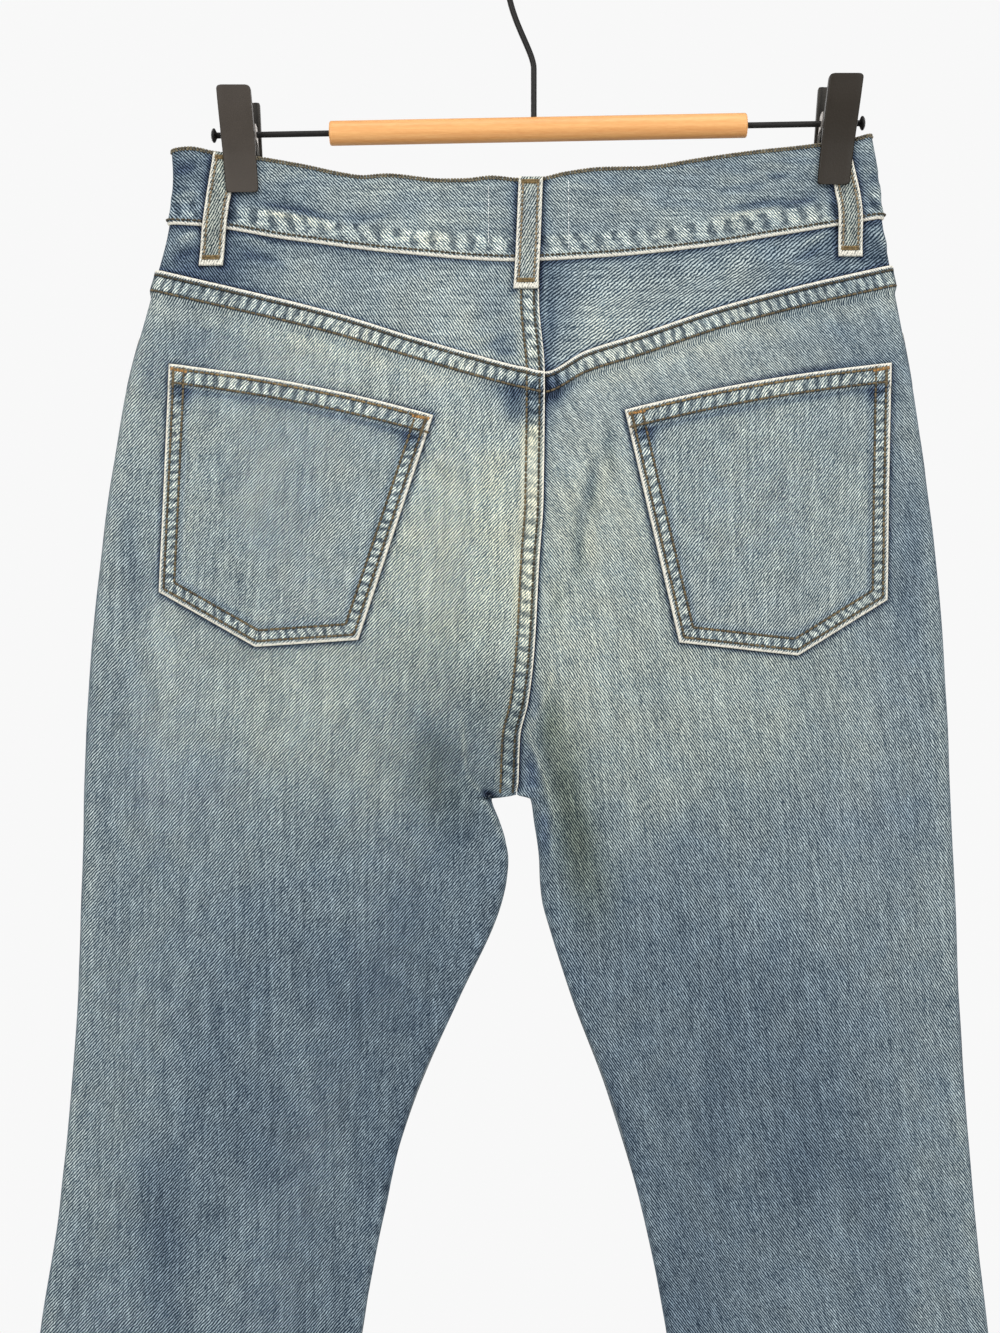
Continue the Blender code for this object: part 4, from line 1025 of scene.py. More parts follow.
def back_panel(half):
    """A back panel from the yoke to the hem, with the felled seams on its edges."""
    columns = panel_columns(2.3)
    top = seam_z("yoke", half, "back", columns) + OVERHANG
    z = panel_rows(top, 2.3, level_rows(2.0, 3.0, 6.0))
    across = np.broadcast_to(columns, z.shape)
    _, from_seam, fade = seat_lap(half, "back", across, z)
    on_lap = fade * (half == "left")
    below = (seam_z("yoke", half, "back", across) - z) * SEAM_LEAN + OVERHANG
    span, up = panel_span(half, "back", z), z - HEM_Z
    outseam, inseam = across * span, (1 - across) * span
    smooth = line_at(z - SMOOTH_Z, SMOOTH_HIGH) * on_lap
    pulled = (0.7 - 0.45 * smooth) * on_lap * ease(6, 12, below)
    seams = (
        (outseam, below, YOKE_PITCH, YOKE_ROWS, 0.85, 1),
        (-z, from_seam, SEAT_PITCH, SEAT_ROWS, pulled, 1),
        (outseam, up, HEM_PITCH, HEM_ROWS, 0.8, 1),
        (-z, inseam, INSEAM_PITCH, INSEAM_ROWS, 0.3 * (1 - fade) * ease(-470, -500, z), 0),
    )
    thick, puckered = hem_lift(outseam, up, 25)
    lift = back_lift(half, across, z) + thick + puckered
    lift = lift + 0.25 * pucker(outseam, below, YOKE_PITCH, 3, 10, 21)
    lift = lift + 0.2 * pucker(-z, from_seam, SEAT_PITCH, 3, 9, 23)
    outer, inner = panel_sides(half, "back", across, z, below, lift)

    x = outer[..., 0]
    spot_wash_and_shade, warm = stains_and_shade(x, z)
    wash = (
        washed(half, "back", across, z)
        + spot_wash_and_shade
        + 0.07 * cloudy(x, z, 31)
        + CREASE_WEAR_AND_SHADE * creases("back", x, z)
        + 0.24 * (1 - ease(10, 14, below))
        + 0.18 * (1 - ease(9, 13, from_seam)) * on_lap
        + 0.14 * smooth * (1 - ease(11, 15, from_seam))
        + 0.12 * (1 - ease(11, 14, up))
        + 0.24 * line_at(below - 18, 6)
        - 0.3 * line_at(outseam, 2.5)
        + 0.1 * line_at(outseam - 7, 5)
    )
    # painted shade: a dark line on the right half just beside the left half's lapped edge
    if half == "right":
        wash = wash - (1.3 * line_at(from_seam - OVERHANG, 1.5) + 0.25 * line_at(from_seam, 5)) * fade
    else:
        wash = wash + 0.2 * line_at(from_seam - 12.0, 1.2) * fade
    # painted shade just outside the pockets
    wash = wash - 1.15 * pocket_shadow(half, x, z)
    warm = warm + 0.3 * ease(-250, -330, z) * (1 - ease(-440, -520, z)) * ease(0.15, 0.45, across)
    worn = np.maximum(edge_wear(below), 1.2 * edge_wear(from_seam, 1.5) * on_lap)
    worn = np.maximum(worn, 0.8 * edge_wear(up, 1.8))
    twill = TWILL["back"][half == "right"]
    piece = shell(f"back_{half}_panel", outer, inner, wash, warm, worn, twill, seams)
    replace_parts(piece, *panel_nodes("back", half))


def yoke(half):
    """The yoke, beneath the waistband above and the back panel below."""
    columns = panel_columns(2.4)
    top = seam_z("waist_bottom", half, "back", columns) + 1.5
    foot = seam_z("yoke", half, "back", columns) - 1.0
    z = top + (foot - top) * np.linspace(0, 1, 36)[:, None]
    across = np.broadcast_to(columns, z.shape)
    _, from_seam, _ = seat_lap(half, "back", across, z)
    on_lap = half == "left"
    edge = from_seam if on_lap else np.full(z.shape, NO_EDGE)
    puckered = 0.2 * pucker(-z, from_seam, SEAT_PITCH, 3, 9, 33) * on_lap
    lift = yoke_lift(half, across, z) + puckered - rounded(edge)
    outer, normals = on_half(half, "back", join_edge(half, across, z, np.ones(z.shape)), z, lift)
    x = outer[..., 0]
    spot_wash_and_shade, warm = stains_and_shade(x, z)
    from_band = seam_z("waist_bottom", half, "back", across) - z
    above_seam = z - seam_z("yoke", half, "back", across)
    wash = (
        np.interp(across, YOKE_WASH["across"], YOKE_WASH[half])
        + spot_wash_and_shade
        + 0.15 * cloudy(x, z * 1.6, 35)
        + 2 * CREASE_WEAR_AND_SHADE * creases("back", x, z)
        # painted shade: dark bands above the yoke seam's edge and below the band, and beside the loops
        - 0.2 * line_at(above_seam, 7) * (1 - ease(0.2, 0.45, across))
        - 0.8 * line_at(from_band, 2.4)
        - 1.2 * line_at(above_seam, 1.9)
        - 0.2 * line_at(from_band, 12)
        - 0.3 * line_at(across * panel_span(half, "back", z), 2.5)
        - 0.8 * loop_shadow("back", x, z, 1.7)
    )
    if on_lap:
        wash = wash + 0.14 * (1 - ease(9, 13, from_seam)) + 0.2 * line_at(from_seam - 12.4, 1.7)
    else:
        # painted shade beside the left half's lapped edge
        wash = wash - 0.75 * line_at(from_seam - OVERHANG, 2.4)
    seams = ((-z, from_seam, SEAT_PITCH, SEAT_ROWS, 0.7 * on_lap, 1),)
    inner, worn = outer - normals * DENIM, edge_wear(from_seam) * on_lap
    twill = TWILL["yoke"][half == "right"]
    piece = shell(f"yoke_{half}_cloth", outer, inner, wash, warm, worn, twill, seams, turn=90)
    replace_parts(piece, f"yoke_{half}")


# ---------------------------------------------------------------- front panels and facings


def scoop_reach(half):
    """The place across where the pocket mouth meets the waistband."""
    band_foot = WAIST_BOTTOM["z"].mean()
    width = abs(follow(SIDE_FOLD, "z", half, band_foot) - follow(INNER_SEAM, "z", half, band_foot))
    return SCOOP_SPAN / width


def front_top(half, across):
    """The panel's top edge: the waistband's seam, and lower down round the pocket mouth."""
    drop = SCOOP_DEEP * np.sqrt(np.clip(1 - (across / scoop_reach(half)) ** 2, 0, None))
    return seam_z("waist_bottom", half, "front", across) - drop


def mouth_lean(half, across):
    """How much a height below the pocket mouth shortens to a distance from it."""
    return np.clip(0.35 + across / scoop_reach(half), 0, 1)


def front_panel(half):
    """A front panel, cut away at its pocket mouth, with the left one lapping over the right at the fly."""
    reach = scoop_reach(half)
    round_mouth = np.sin(np.radians(np.linspace(0, 90, 44))) * reach
    columns = np.concatenate([round_mouth, [c for c in panel_columns(3.0) if c > reach + 0.008]])
    z = panel_rows(front_top(half, columns), 3.0, level_rows(3.0, 4.5, 7.0))
    across = np.broadcast_to(columns, z.shape)
    _, from_seam, fade = seat_lap(half, "front", across, z)
    on_lap = fade * (half == "left")
    outseam, up = across * panel_span(half, "front", z), z - HEM_Z
    below = np.where(across < reach, (front_top(half, across) - z) * mouth_lean(half, across), NO_EDGE)
    seams = (
        (outseam, up, HEM_PITCH, HEM_ROWS, 0.8, 1),
        (-z, from_seam, SEAT_PITCH, SEAT_ROWS, 0.7 * on_lap, 1),
        (outseam, below, MOUTH_PITCH, MOUTH_ROWS, 0.7, 1),
    )
    thick, puckered = hem_lift(outseam, up, 41)
    lift = thick + puckered + lap(from_seam) * on_lap + 0.6 * (1 - ease(9, 13, below))
    outer, inner = panel_sides(half, "front", across, z, below, lift)
    x = outer[..., 0]
    wash = (
        washed(half, "front", across, z)
        + 0.08 * cloudy(x, z, 45)
        + CREASE_WEAR_AND_SHADE * creases("front", x, z)
        + 0.15 * (1 - ease(8, 13, below))
        + 0.12 * (1 - ease(11, 14, up))
        - 0.3 * line_at(outseam, 2.5)
        - 0.2 * line_at(below - 11.5, 2.5)
    )
    # painted shade beside the fly's lapped edge, and below the band
    if half == "right":
        wash = wash - 0.6 * line_at(from_seam - OVERHANG, 2.4) * fade
    wash = wash - 0.6 * line_at(seam_z("waist_bottom", half, "front", across) - z, 2.6)
    worn = np.maximum(edge_wear(below, 1.5), edge_wear(from_seam) * on_lap)
    worn = np.maximum(worn, 0.8 * edge_wear(up, 1.8))
    twill = TWILL["front"][half == "right"]
    piece = shell(f"front_{half}_panel", outer, inner, wash, 0.0, worn, twill, seams)
    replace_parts(piece, *panel_nodes("front", half))


def pocket_facing(half):
    """The darker denim behind the pocket mouth."""
    columns = np.linspace(0.004, scoop_reach(half) * FACING_REACH, 46)
    top = seam_z("waist_bottom", half, "front", columns) - SEAM_GAP
    z = top + (FACING_FOOT_Z - top) * np.linspace(0, 1, 40)[:, None]
    across = np.broadcast_to(columns, z.shape)
    outer, normals = on_half(half, "front", across, z, -DENIM - SEAM_GAP)
    inner = outer - normals * POCKET_WALL
    wash = 0.28 + 0.06 * cloudy(outer[..., 0], z, 51) - 0.3 * line_at(front_top(half, across) - z, 3)
    piece = shell(f"pocket_facing_{half}_cloth", outer, inner, wash, 0.0, np.zeros(z.shape), twill=130.0)
    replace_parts(piece, f"pocket_facing_{half}")


# ---------------------------------------------------------------- waistband

BAND_LIFT = 1.3
BAND_SPAN, BAND_STEP = 236.0, 2.4
# Heights of the band's rows below its top, as stretches and their steps, out of its whole height.
BAND_HIGH, BAND_STRETCHES = 42, ((3, 0.5), (14, 1.6), (34, 2.2), (38, 1.0), (42, 0.5))
BAND_WASH = table(
    "x wash", (-207, 0.04), (-190, 0.27), (-120, 0.47), (-60, 0.58), (20, 0.42), (90, 0.42), (180, 0.32)
)


def band_lift(phase, up, down, across):
    """Lift of the waistband: up is the distance from its foot, down the distance from its top edge."""
    loose = ease(0.0, 0.05, across)
    foot = 0.5 * loose * (1 - ease(4, 9, up))
    swollen = 0.6 * loose * pucker(phase, up, BAND_PITCH, *BAND_ROWS, 61)
    return BAND_LIFT + foot + swollen - rounded(down, 1.4) - rounded(up, 0.9)


def band_levels(half, face, across):
    """Heights of the band's top and foot, the foot with its overhang."""
    return seam_z("waist_top", half, face, across), seam_z("waist_bottom", half, face, across) - OVERHANG


def waistband():
    """One strip from the lapped end at the centre front all the way round to the end beneath the lap."""
    columns = fine_steps((9, 1.0), (BAND_SPAN, BAND_STEP)) / BAND_SPAN
    under = BAND_WALL + 0.6
    lapped = 1 - fine_steps((UNDERLAP, UNDERLAP / 11))[1:]
    going_under = under * ease(UNDERLAP_FROM - 0.02, UNDERLAP_FROM + 0.03, columns[1:-1])
    stretches = (
        ("left", "front", columns[::-1], 0.0),
        ("left", "back", columns[1:], 0.0),
        ("right", "back", columns[-2::-1], 0.0),
        ("right", "front", columns[1:-1], going_under),
        ("left", "front", lapped, under),
    )
    shares = fine_steps(*BAND_STRETCHES) / BAND_HIGH
    gathered_up = []
    gone = 0.0
    for half, face, across, sink in stretches:
        top, foot = band_levels(half, face, across)
        z = top + (foot - top) * shares[:, None]
        up, down = z - foot, top - z
        phase = gone + travelled(skin(half, face, across, (top + foot) / 2)) + 0 * z
        gone = phase[0, -1] + BAND_STEP
        lift = band_lift(phase, up, down, across) - sink
        outer, normals = on_half(half, face, np.broadcast_to(across, z.shape), z, lift)
        wall = np.maximum(np.where(up < 1.6, 1.2, BAND_WALL) - 1.9 * rounded(down, 1.4), 0.15)
        x = outer[..., 0]
        wash = (
            np.interp(x, BAND_WASH["x"], BAND_WASH["wash"])
            + 0.16 * cloudy(phase, z * 2.5, 63)
            + 0.12 * patches(phase / 30, z / 3.2, 65)
            + 0.2 * (1 - ease(11, 16, up))
            - 0.25 * line_at(down, 2.8)
            + 3 * CREASE_WEAR_AND_SHADE * creases(face, x, z)
            # painted shade beside the loops
            - 0.35 * loop_shadow(face, x, z, 4.5)
            - 0.9 * loop_shadow(face, x, z, 1.7)
        )
        worn = np.maximum(edge_wear(up, 1.4), 0.3 * edge_wear(down, 1.0))
        gathered_up.append((outer, outer - normals * wall[..., None], wash, worn, phase, up))
    outer, inner, wash, worn, phase, up = (np.concatenate(parts, 1) for parts in zip(*gathered_up))
    seams = ((phase, up, BAND_PITCH, BAND_ROWS, 0.75, 0),)
    piece = shell("waistband_cloth", outer, inner, wash, 0.0, worn, 135.0, seams, 90, phase)
    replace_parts(piece, "waistband")


# ---------------------------------------------------------------- back pockets

POCKET_LIFT = 1.9
POCKET_HEM = 12.0
POCKET_WASH = {"left": 0.57, "right": 0.55}
# Places in from a pocket's edges, where its points lie close together, and about its width and height.
POCKET_SIDE_STEPS = (0, 0.35, 0.8, 1.4, 2.2, 3.2, 4.4, 5.7, 7.0, 8.3, 9.6, 11.0)
POCKET_TOP_STEPS = (0, 0.35, 0.8, 1.4, 2.2, 3.4, 4.8, 6.4, 8.0, 9.6, 11.2, 12.8, 14.4)
POCKET_WIDE, POCKET_HIGH = 145, 130


def towards(start, end):
    """The unit vector from start to end."""
    return (end - start) / np.linalg.norm(end - start)


def from_line(x, z, start, end):
    """Distance to the left of the line from start to end, and distance along it."""
    way = towards(start, end)
    aside = (x - start[0]) * -way[1] + (z - start[1]) * way[0]
    return aside, (x - start[0]) * way[0] + (z - start[1]) * way[1]


def pocket_corners(half):
    return np.stack([POCKETS[half]["x"], POCKETS[half]["z"]], -1)


def bowed(share):
    """How far the pocket's top edge is bowed up at a share of its length."""
    return POCKET_BOW * (1 - (2 * share - 1) ** 2)


def pocket_sides(half, x, z):
    """Distance in from the sewn-down sides and foot, and distance along them."""
    corners = pocket_corners(half)
    nearest, phase, passed = np.full(np.shape(x), 1e3), np.zeros(np.shape(x)), 0.0
    for start, end in zip(corners[:-1], corners[1:]):
        aside, along = from_line(x, z, start, end)
        closer = aside < nearest
        nearest, phase = np.where(closer, aside, nearest), np.where(closer, passed + along, phase)
        passed += np.linalg.norm(end - start)
    return nearest, phase


def pocket_top(half, x, z):
    """Distance below the pocket's bowed top edge."""
    corners = pocket_corners(half)
    aside, along = from_line(x, z, corners[-1], corners[0])
    return aside + bowed(np.clip(along / np.linalg.norm(corners[0] - corners[-1]), 0, 1))


def pocket_shadow(half, x, z):
    """Painted shade: the dark line on the panel just outside the pocket, from 0 to 1."""
    side, _ = pocket_sides(half, x, z)
    inside = np.minimum(side, pocket_top(half, x, z))
    return line_at(np.clip(-inside, 0, None), 1.8) * (inside > -12) * ease(-6, 0, inside)


def pocket_lift(half, x, z):
    """The pocket's lift, which its hem and turned-in sides raise."""
    side, phase = pocket_sides(half, x, z)
    top = pocket_top(half, x, z)
    lift = POCKET_LIFT + 0.5 * (1 - ease(9, 12, side)) + 0.6 * (1 - ease(POCKET_HEM - 1, POCKET_HEM + 2, top))
    return lift + 0.15 * pucker(phase, side, POCKET_PITCH, 3, 8, 71)


def back_pocket(half):
    """A patch with a bowed hem at its top, leaning sides and a blunt point."""
    top_left, foot_left, point, foot_right, top_right = pocket_corners(half)
    share = POCKET_POINT[half]
    near = np.array(POCKET_SIDE_STEPS) / POCKET_WIDE
    u = np.concatenate([near, np.linspace(near[-1], 1 - near[-1], 80)[1:-1], 1 - near[::-1]])
    deep = np.array(POCKET_TOP_STEPS) / POCKET_HIGH
    v = np.concatenate([deep, np.linspace(deep[-1], 1 - deep[-2], 66)[1:-1], 1 - deep[-2::-1]])
    top = top_left + (top_right - top_left) * u[:, None]
    top[:, 1] += bowed(u)
    left_part = foot_left + (point - foot_left) * np.minimum(u / share, 1)[:, None]
    right_part = point + (foot_right - point) * np.maximum((u - share) / (1 - share), 0)[:, None]
    foot = np.where((u < share)[:, None], left_part, right_part)
    grid = top + (foot - top) * v[:, None, None]
    x, z = grid[..., 0], grid[..., 1]
    side, phase = pocket_sides(half, x, z)
    under_top = pocket_top(half, x, z)
    inside = np.minimum(side, under_top)
    edge = np.clip(inside, 0, None)
    outer, normals = on_body("back", x, z, pocket_lift(half, x, z) - rounded(edge))
    wash = (
        POCKET_WASH[half]
        + 0.09 * cloudy(x, z, 75)
        + 0.1 * (1 - ease(8, 12, inside))
        - 0.3 * line_at(side - 10.6, 1.5) * (under_top > POCKET_HEM)
        + 0.05 * line_at(side - 15, 4)
        - 0.45 * line_at(under_top - 13.4, 1.8)
        - 0.7 * line_at(side - 8, 7) * line_at(under_top - 16, 4.5)
    )
    seams = (
        (phase, side, POCKET_PITCH, POCKET_ROWS, 0.85 * (under_top > POCKET_HEM - 1.5), 1),
        (x, under_top, POCKET_HEM_PITCH, POCKET_HEM_ROWS, 0.8, 1),
    )
    name, twill = f"back_pocket_{half}", TWILL["pocket"][half == "right"]
    inner, worn = outer - normals * POCKET_WALL, edge_wear(edge, 1.3)
    piece = shell(f"{name}_cloth", outer, inner, wash, 0.0, worn, twill, seams)
    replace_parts(piece, name)


# ---------------------------------------------------------------- belt loops

LOOP_BOW = 1.6
LOOP_END = 3.4  # the folded end, three layers thick
CLIP_FOOT_Z = -140.0
LOOP_SHARES = np.array((0, 0.16, 0.33, 0.5, 0.66, 0.8, 0.9, 0.97, 1))  # places from the middle to a side
LOOP_WASH = {"belt_loop_centre_back": (0.34, 0.6)}  # wash and warmth
OTHER_LOOP_WASH = (0.24, 1.1)


def pressed(x, z):
    """1 beneath a clip's jaws, and nothing a little way off them."""
    near = [np.exp(-(((x - clip_x) / 13) ** 6)) for clip_x in CLIP_X.values()]
    return np.maximum(*near) * ease(CLIP_FOOT_Z - 6, CLIP_FOOT_Z + 1, z)


def loop_shape(name):
    """A loop's face and middle line, and the heights of its top, of the band's foot and of its end."""
    face, middles, tail, _ = LOOPS[name]
    drop = FRONT_DROP if face == "front" else 0.0
    top_z = float(follow(WAIST_TOP, "x", "z", middles[0])) - 0.2 - drop
    band_z = float(follow(WAIST_BOTTOM, "x", "z", middles[1])) - drop
    end_z = band_z - tail
    return face, dict(z=np.array((top_z, band_z, end_z)), x=np.array(middles)), top_z, band_z, end_z


def loop_lift(name, x, z):
    """Lift of a loop: over the band, then bowed across to the yoke, and thick where its ends fold."""
    _, _, top_z, band_z, end_z = loop_shape(name)
    on_band = BAND_LIFT + 0.35 + LOOP_WALL
    beyond = LOOP_WALL + 0.5 + LOOPS[name][-1]
    foot = ease(band_z - 1, band_z - 9, z)
    bow = LOOP_BOW * np.sin(math.pi * np.clip((top_z - z) / (top_z - end_z), 0, 1)) ** 0.8
    ends = 0.8 * (1 - ease(LOOP_END - 0.8, LOOP_END + 0.8, np.minimum(z - end_z, top_z - z)))
    clipped = pressed(x, z)
    return on_band * (1 - foot) + beyond * foot + (bow + ends) * (1 - clipped) - 0.55 * clipped


def loop_shadow(face, x, z, wide):
    """Painted shade along both sides of the loops, from 0 to 1."""
    total = np.zeros(np.broadcast(x, z).shape)
    for name in LOOPS:
        side, line, top_z, _, end_z = loop_shape(name)
        if side == face:
            beyond = np.abs(x - follow(line, "z", "x", z)) - LOOP_WIDE / 2
            near = line_at(np.clip(beyond, 0, None), wide) * (beyond > -3)
            total = np.maximum(total, near * (z < top_z) * (1 - ease(end_z, end_z - 3, z)))
    return total


def belt_loop(name):
    """A strip folded in three, with pale worn sides and a pale foot."""
    face, line, top_z, _, end_z = loop_shape(name)
    long = top_z - end_z
    down = fine_steps((0.6, 0.3), (4, 0.8), (long - 4, 1.6), (long - 0.6, 0.8), (long, 0.3))
    z = (top_z - down)[:, None]
    half_wide = LOOP_WIDE / 2
    aside = np.concatenate([-LOOP_SHARES[:0:-1], LOOP_SHARES]) * half_wide
    x = follow(line, "z", "x", z) + aside
    z = np.broadcast_to(z, x.shape)
    side = half_wide - np.abs(aside) + 0 * x
    end = np.minimum(top_z - z, z - end_z)
    lift = loop_lift(name, x, z) + 0.25 * line_at(side - 1.4, 1.0) - rounded(np.minimum(side, end), 0.7)
    outer, normals = on_body(face, x, z, lift)
    wash, warm = LOOP_WASH.get(name, OTHER_LOOP_WASH)
    wash = wash + 0.26 * patches(x / 2.4, z / 9, 81) - 0.15 * line_at(side - 2.6, 0.8)
    worn = np.maximum(edge_wear(side, 1.3), 0.16 + 0.66 * (1 - ease(2.2, 3.4, z - end_z)))
    inner = outer - normals * (LOOP_WALL - 0.2)
    piece = shell(f"{name}_cloth", outer, inner, wash, warm, 0.95 * worn, twill=62.0)
    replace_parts(piece, name)


# ---------------------------------------------------------------- stitches

BROWN, OLIVE, TAN, STRAW = (68, 60, 43), (104, 95, 74), (98, 84, 58), (130, 112, 84)
GOLD, ORANGE, WHITE = (120, 100, 64), (172, 126, 70), (222, 226, 224)
STITCH_PITCH, STITCH_LONG, STITCH_R = 2.9, 2.78, 0.6
TACK_STEP, TACK_R = 0.62, 0.34
# A stitch's rings: their places along it, their heights above its middle and how thick it is there.
STITCH_RINGS = ((-0.5, -0.45, 0.55), (-0.3, 0.05, 1.0), (0.3, 0.05, 1.0), (0.5, -0.45, 0.55))
RING = 5  # corners of a ring
ON_CLOTH = 0.1  # how far rows of stitches sit above the cloth
# The rows round the fly's curve: how far in they run, and the height of their foot.
FLY_ROWS, FLY_CURVE_HIGH, FLY_FOOT_INSET = ((38.0, -338.0), (44.0, -345.0)), 26, 12


class Threads:
    """Stitches gathered into one mesh, each a short round bar whose ends dip into the cloth."""

    def __init__(self, name, seed):
        self.name = name
        self.random = np.random.default_rng(seed)
        self.points, self.tones = [], []

    def row(self, points, normals, colour, pitch=STITCH_PITCH, long=STITCH_LONG, radius=STITCH_R, sit=0.12):
        """Stitches along a path of points, which need not be evenly spaced."""
        travel = travelled(points)
        number = int(travel[-1] / pitch)
        if number < 1:
            return
        middles = (np.arange(number) + 0.5) * travel[-1] / number
        middles = middles + self.random.uniform(-0.06, 0.06, number) * pitch
        lengths = long * self.random.uniform(0.9, 1.08, number)
        shade = self.random.uniform(0.6, 1.5, number)
        rings = []
        for share, height, thick in STITCH_RINGS:
            at = middles + lengths * share
            centre, out = (values_at(values, travel, at) for values in (points, normals))
            rings.append((centre + out * (sit + height * radius * 2), out, thick * radius))
        way = rings[-1][0] - rings[0][0]
        way /= np.linalg.norm(way, axis=1, keepdims=True)
        corners = []
        for centre, out, thick in rings:
            beside = np.cross(way, out)
            beside /= np.linalg.norm(beside, axis=1, keepdims=True)
            for step in range(RING):
                turn = 2 * math.pi * step / RING
                corners.append(centre + thick * (math.cos(turn) * out + math.sin(turn) * beside))
        self.points.append(np.stack(corners, 1))
        self.tones.append(from_srgb(colour)[None, :] * shade[:, None])

    def make(self):
        """The mesh of every stitch in one piece."""
        points, tones = np.concatenate(self.points), np.concatenate(self.tones)
        count, each = points.shape[:2]
        starts = np.arange(count)[:, None, None] * each
        sides, caps = tube_faces(len(STITCH_RINGS), RING)
        faces = [(part[None] + starts).reshape(-1, part.shape[1])[:, ::-1] for part in (sides, caps)]
        piece = new_piece(self.name, points.reshape(-1, 3), faces, materials["thread"])
        colours = np.repeat(tones, each, 0)
        set_attribute(piece, "tone", "FLOAT_COLOR", np.concatenate([colours, np.ones((len(colours), 1))], 1))


def yoke_rows(threads):
    """Two rows along the yoke seam, on the back panels."""
    across = np.linspace(0.012, 0.996, 420)
    for half in HALVES:
        for inset, colour in zip(YOKE_ROWS, (BROWN, TAN)):
            z = seam_z("yoke", half, "back", across) - (inset - OVERHANG) / SEAM_LEAN
            threads.row(*on_half(half, "back", across, z, back_lift(half, across, z) + ON_CLOTH), colour)


def seat_rows(threads):
    """Two rows down the middle seam, on the left half's lap."""
    z = np.linspace(-180, -468, 400)
    for inset, colour in zip(SEAT_ROWS, (BROWN, TAN)):
        across = 1 - (inset - OVERHANG) / panel_span("left", "back", z)
        on_yoke = z > seam_z("yoke", "left", "back", across)
        lift = np.where(on_yoke, yoke_lift("left", across, z), back_lift("left", across, z))
        points, normals = on_half("left", "back", across, z, lift + ON_CLOTH)
        for part in (on_yoke, ~on_yoke):
            threads.row(points[part], normals[part], colour)


def band_rows(threads, face):
    """Rows along the top and foot of the waistband."""
    for half in HALVES:
        across = np.linspace(0.0, 0.998, 500)
        if face == "front" and half == "right":
            across = across[across < UNDERLAP_FROM - 0.04]
        top, foot = band_levels(half, face, across)
        for z, colour, pitch in (
            (top - 0.8, OLIVE, 1.7),
            (top - 1.9, OLIVE, 1.9),
            (foot + 2.6, BROWN, STITCH_PITCH),
        ):
            lift = BAND_LIFT + 0.5 * (1 - ease(4, 9, z - foot)) - rounded(top - z, 1.4)
            threads.row(*on_half(half, face, across, z, lift + 0.12), colour, pitch, 0.9 * pitch)


def front_rows(threads):
    """Rows round the pocket mouths, down the fly's edge and round the fly's curve."""
    for half in HALVES:
        across = np.sin(np.radians(np.linspace(3, 86, 160))) * scoop_reach(half)
        for inset, colour in zip(MOUTH_ROWS, (BROWN, TAN)):
            z = front_top(half, across) - inset / mouth_lean(half, across)
            threads.row(*on_half(half, "front", across, z, 0.7), colour)
    for inset in SEAT_ROWS:
        z = np.linspace(-182, -466, 300)
        across = 1 - (inset - OVERHANG) / panel_span("left", "front", z)
        threads.row(*on_half("left", "front", across, z, LAP + ON_CLOTH), BROWN)
    turn = np.radians(np.linspace(0, 90, 60))
    for wide, foot in FLY_ROWS:
        bend = foot + FLY_CURVE_HIGH
        inset = np.concatenate([np.full(60, wide), FLY_FOOT_INSET + (wide - FLY_FOOT_INSET) * np.cos(turn)])
        z = np.concatenate([np.linspace(-180, bend, 60), bend - FLY_CURVE_HIGH * np.sin(turn)])
        across = 1 - inset / panel_span("left", "front", z)
        threads.row(*on_half("left", "front", across, z, lap(inset) + ON_CLOTH), TAN)


def inset_path(corners, inset, start_down):
    """A path round the pocket's sides and foot, set in from its edge, starting below the top edge."""
    ways = [towards(a, b) for a, b in zip(corners[:-1], corners[1:])]
    starts = [a + inset * np.array((-way[1], way[0])) for a, way in zip(corners[:-1], ways)]
    turns = []
    for first, way, second, other in zip(starts, ways, starts[1:], ways[1:]):
        crossing = np.linalg.solve(np.stack([way, -other], 1), second - first)
        turns.append(first + way * crossing[0])
    begin = starts[0] + ways[0] * start_down
    end = corners[-1] + inset * np.array((-ways[-1][1], ways[-1][0])) - ways[-1] * start_down
    return [begin, *turns, end]


def dense(start, end):
    """Points about a millimetre apart from start to end."""
    path = np.array([start, end])
    travel = travelled(path)
    at = np.linspace(0, travel[-1], max(2, int(travel[-1])))
    return values_at(path, travel, at).T


def pocket_rows(threads, half):
    """Two rows round a pocket's sides and foot, and two along its hem."""
    corners = pocket_corners(half)
    for inset in POCKET_ROWS:
        path = inset_path(corners, inset, 2.0)
        for start, end in zip(path[:-1], path[1:]):
            x, z = dense(start, end)
            threads.row(*on_body("back", x, z, pocket_lift(half, x, z) + ON_CLOTH), TAN)
    top_left, top_right = corners[0], corners[-1]
    share = np.linspace(0.015, 0.985, 200)
    for inset, colour in zip(POCKET_HEM_ROWS, (GOLD, TAN)):
        x, z = (top_left + (top_right - top_left) * share[:, None]).T
        z = z + bowed(share) - inset
        threads.row(*on_body("back", x, z, pocket_lift(half, x, z) + ON_CLOTH), colour)


def bartack(threads, face, start, end, wide, lift, colour=ORANGE):
    """Close stitches across the line from start to end."""
    start, end = np.array(start, float), np.array(end, float)
    way = towards(start, end)
    aside = np.array((-way[1], way[0]))
    for step in np.arange(0, np.linalg.norm(end - start), TACK_STEP):
        middle = start + way * step
        x, z = np.array([middle - aside * wide / 2, middle, middle + aside * wide / 2]).T
        threads.row(*on_body(face, x, z, lift(x, z) + 0.2), colour, wide * 0.9, wide * 0.95, TACK_R, 0.1)


def pocket_tacks(threads, half):
    """A bent tack at each end of a pocket's top edge."""
    corners = pocket_corners(half)

    def lift(x, z):
        return pocket_lift(half, x, z)

    for corner, other, side in (corners[[0, -1, 1]], corners[[-1, 0, -2]]):
        along, down = towards(corner, other), towards(corner, side)
        begin = corner + along * 1.6 + down * 2.6
        bend = begin + along * 1.4
        bartack(threads, "back", begin, begin + along * 9.0, 1.9, lift)
        bartack(threads, "back", bend, bend + down * 9.0, 1.7, lift, TAN)


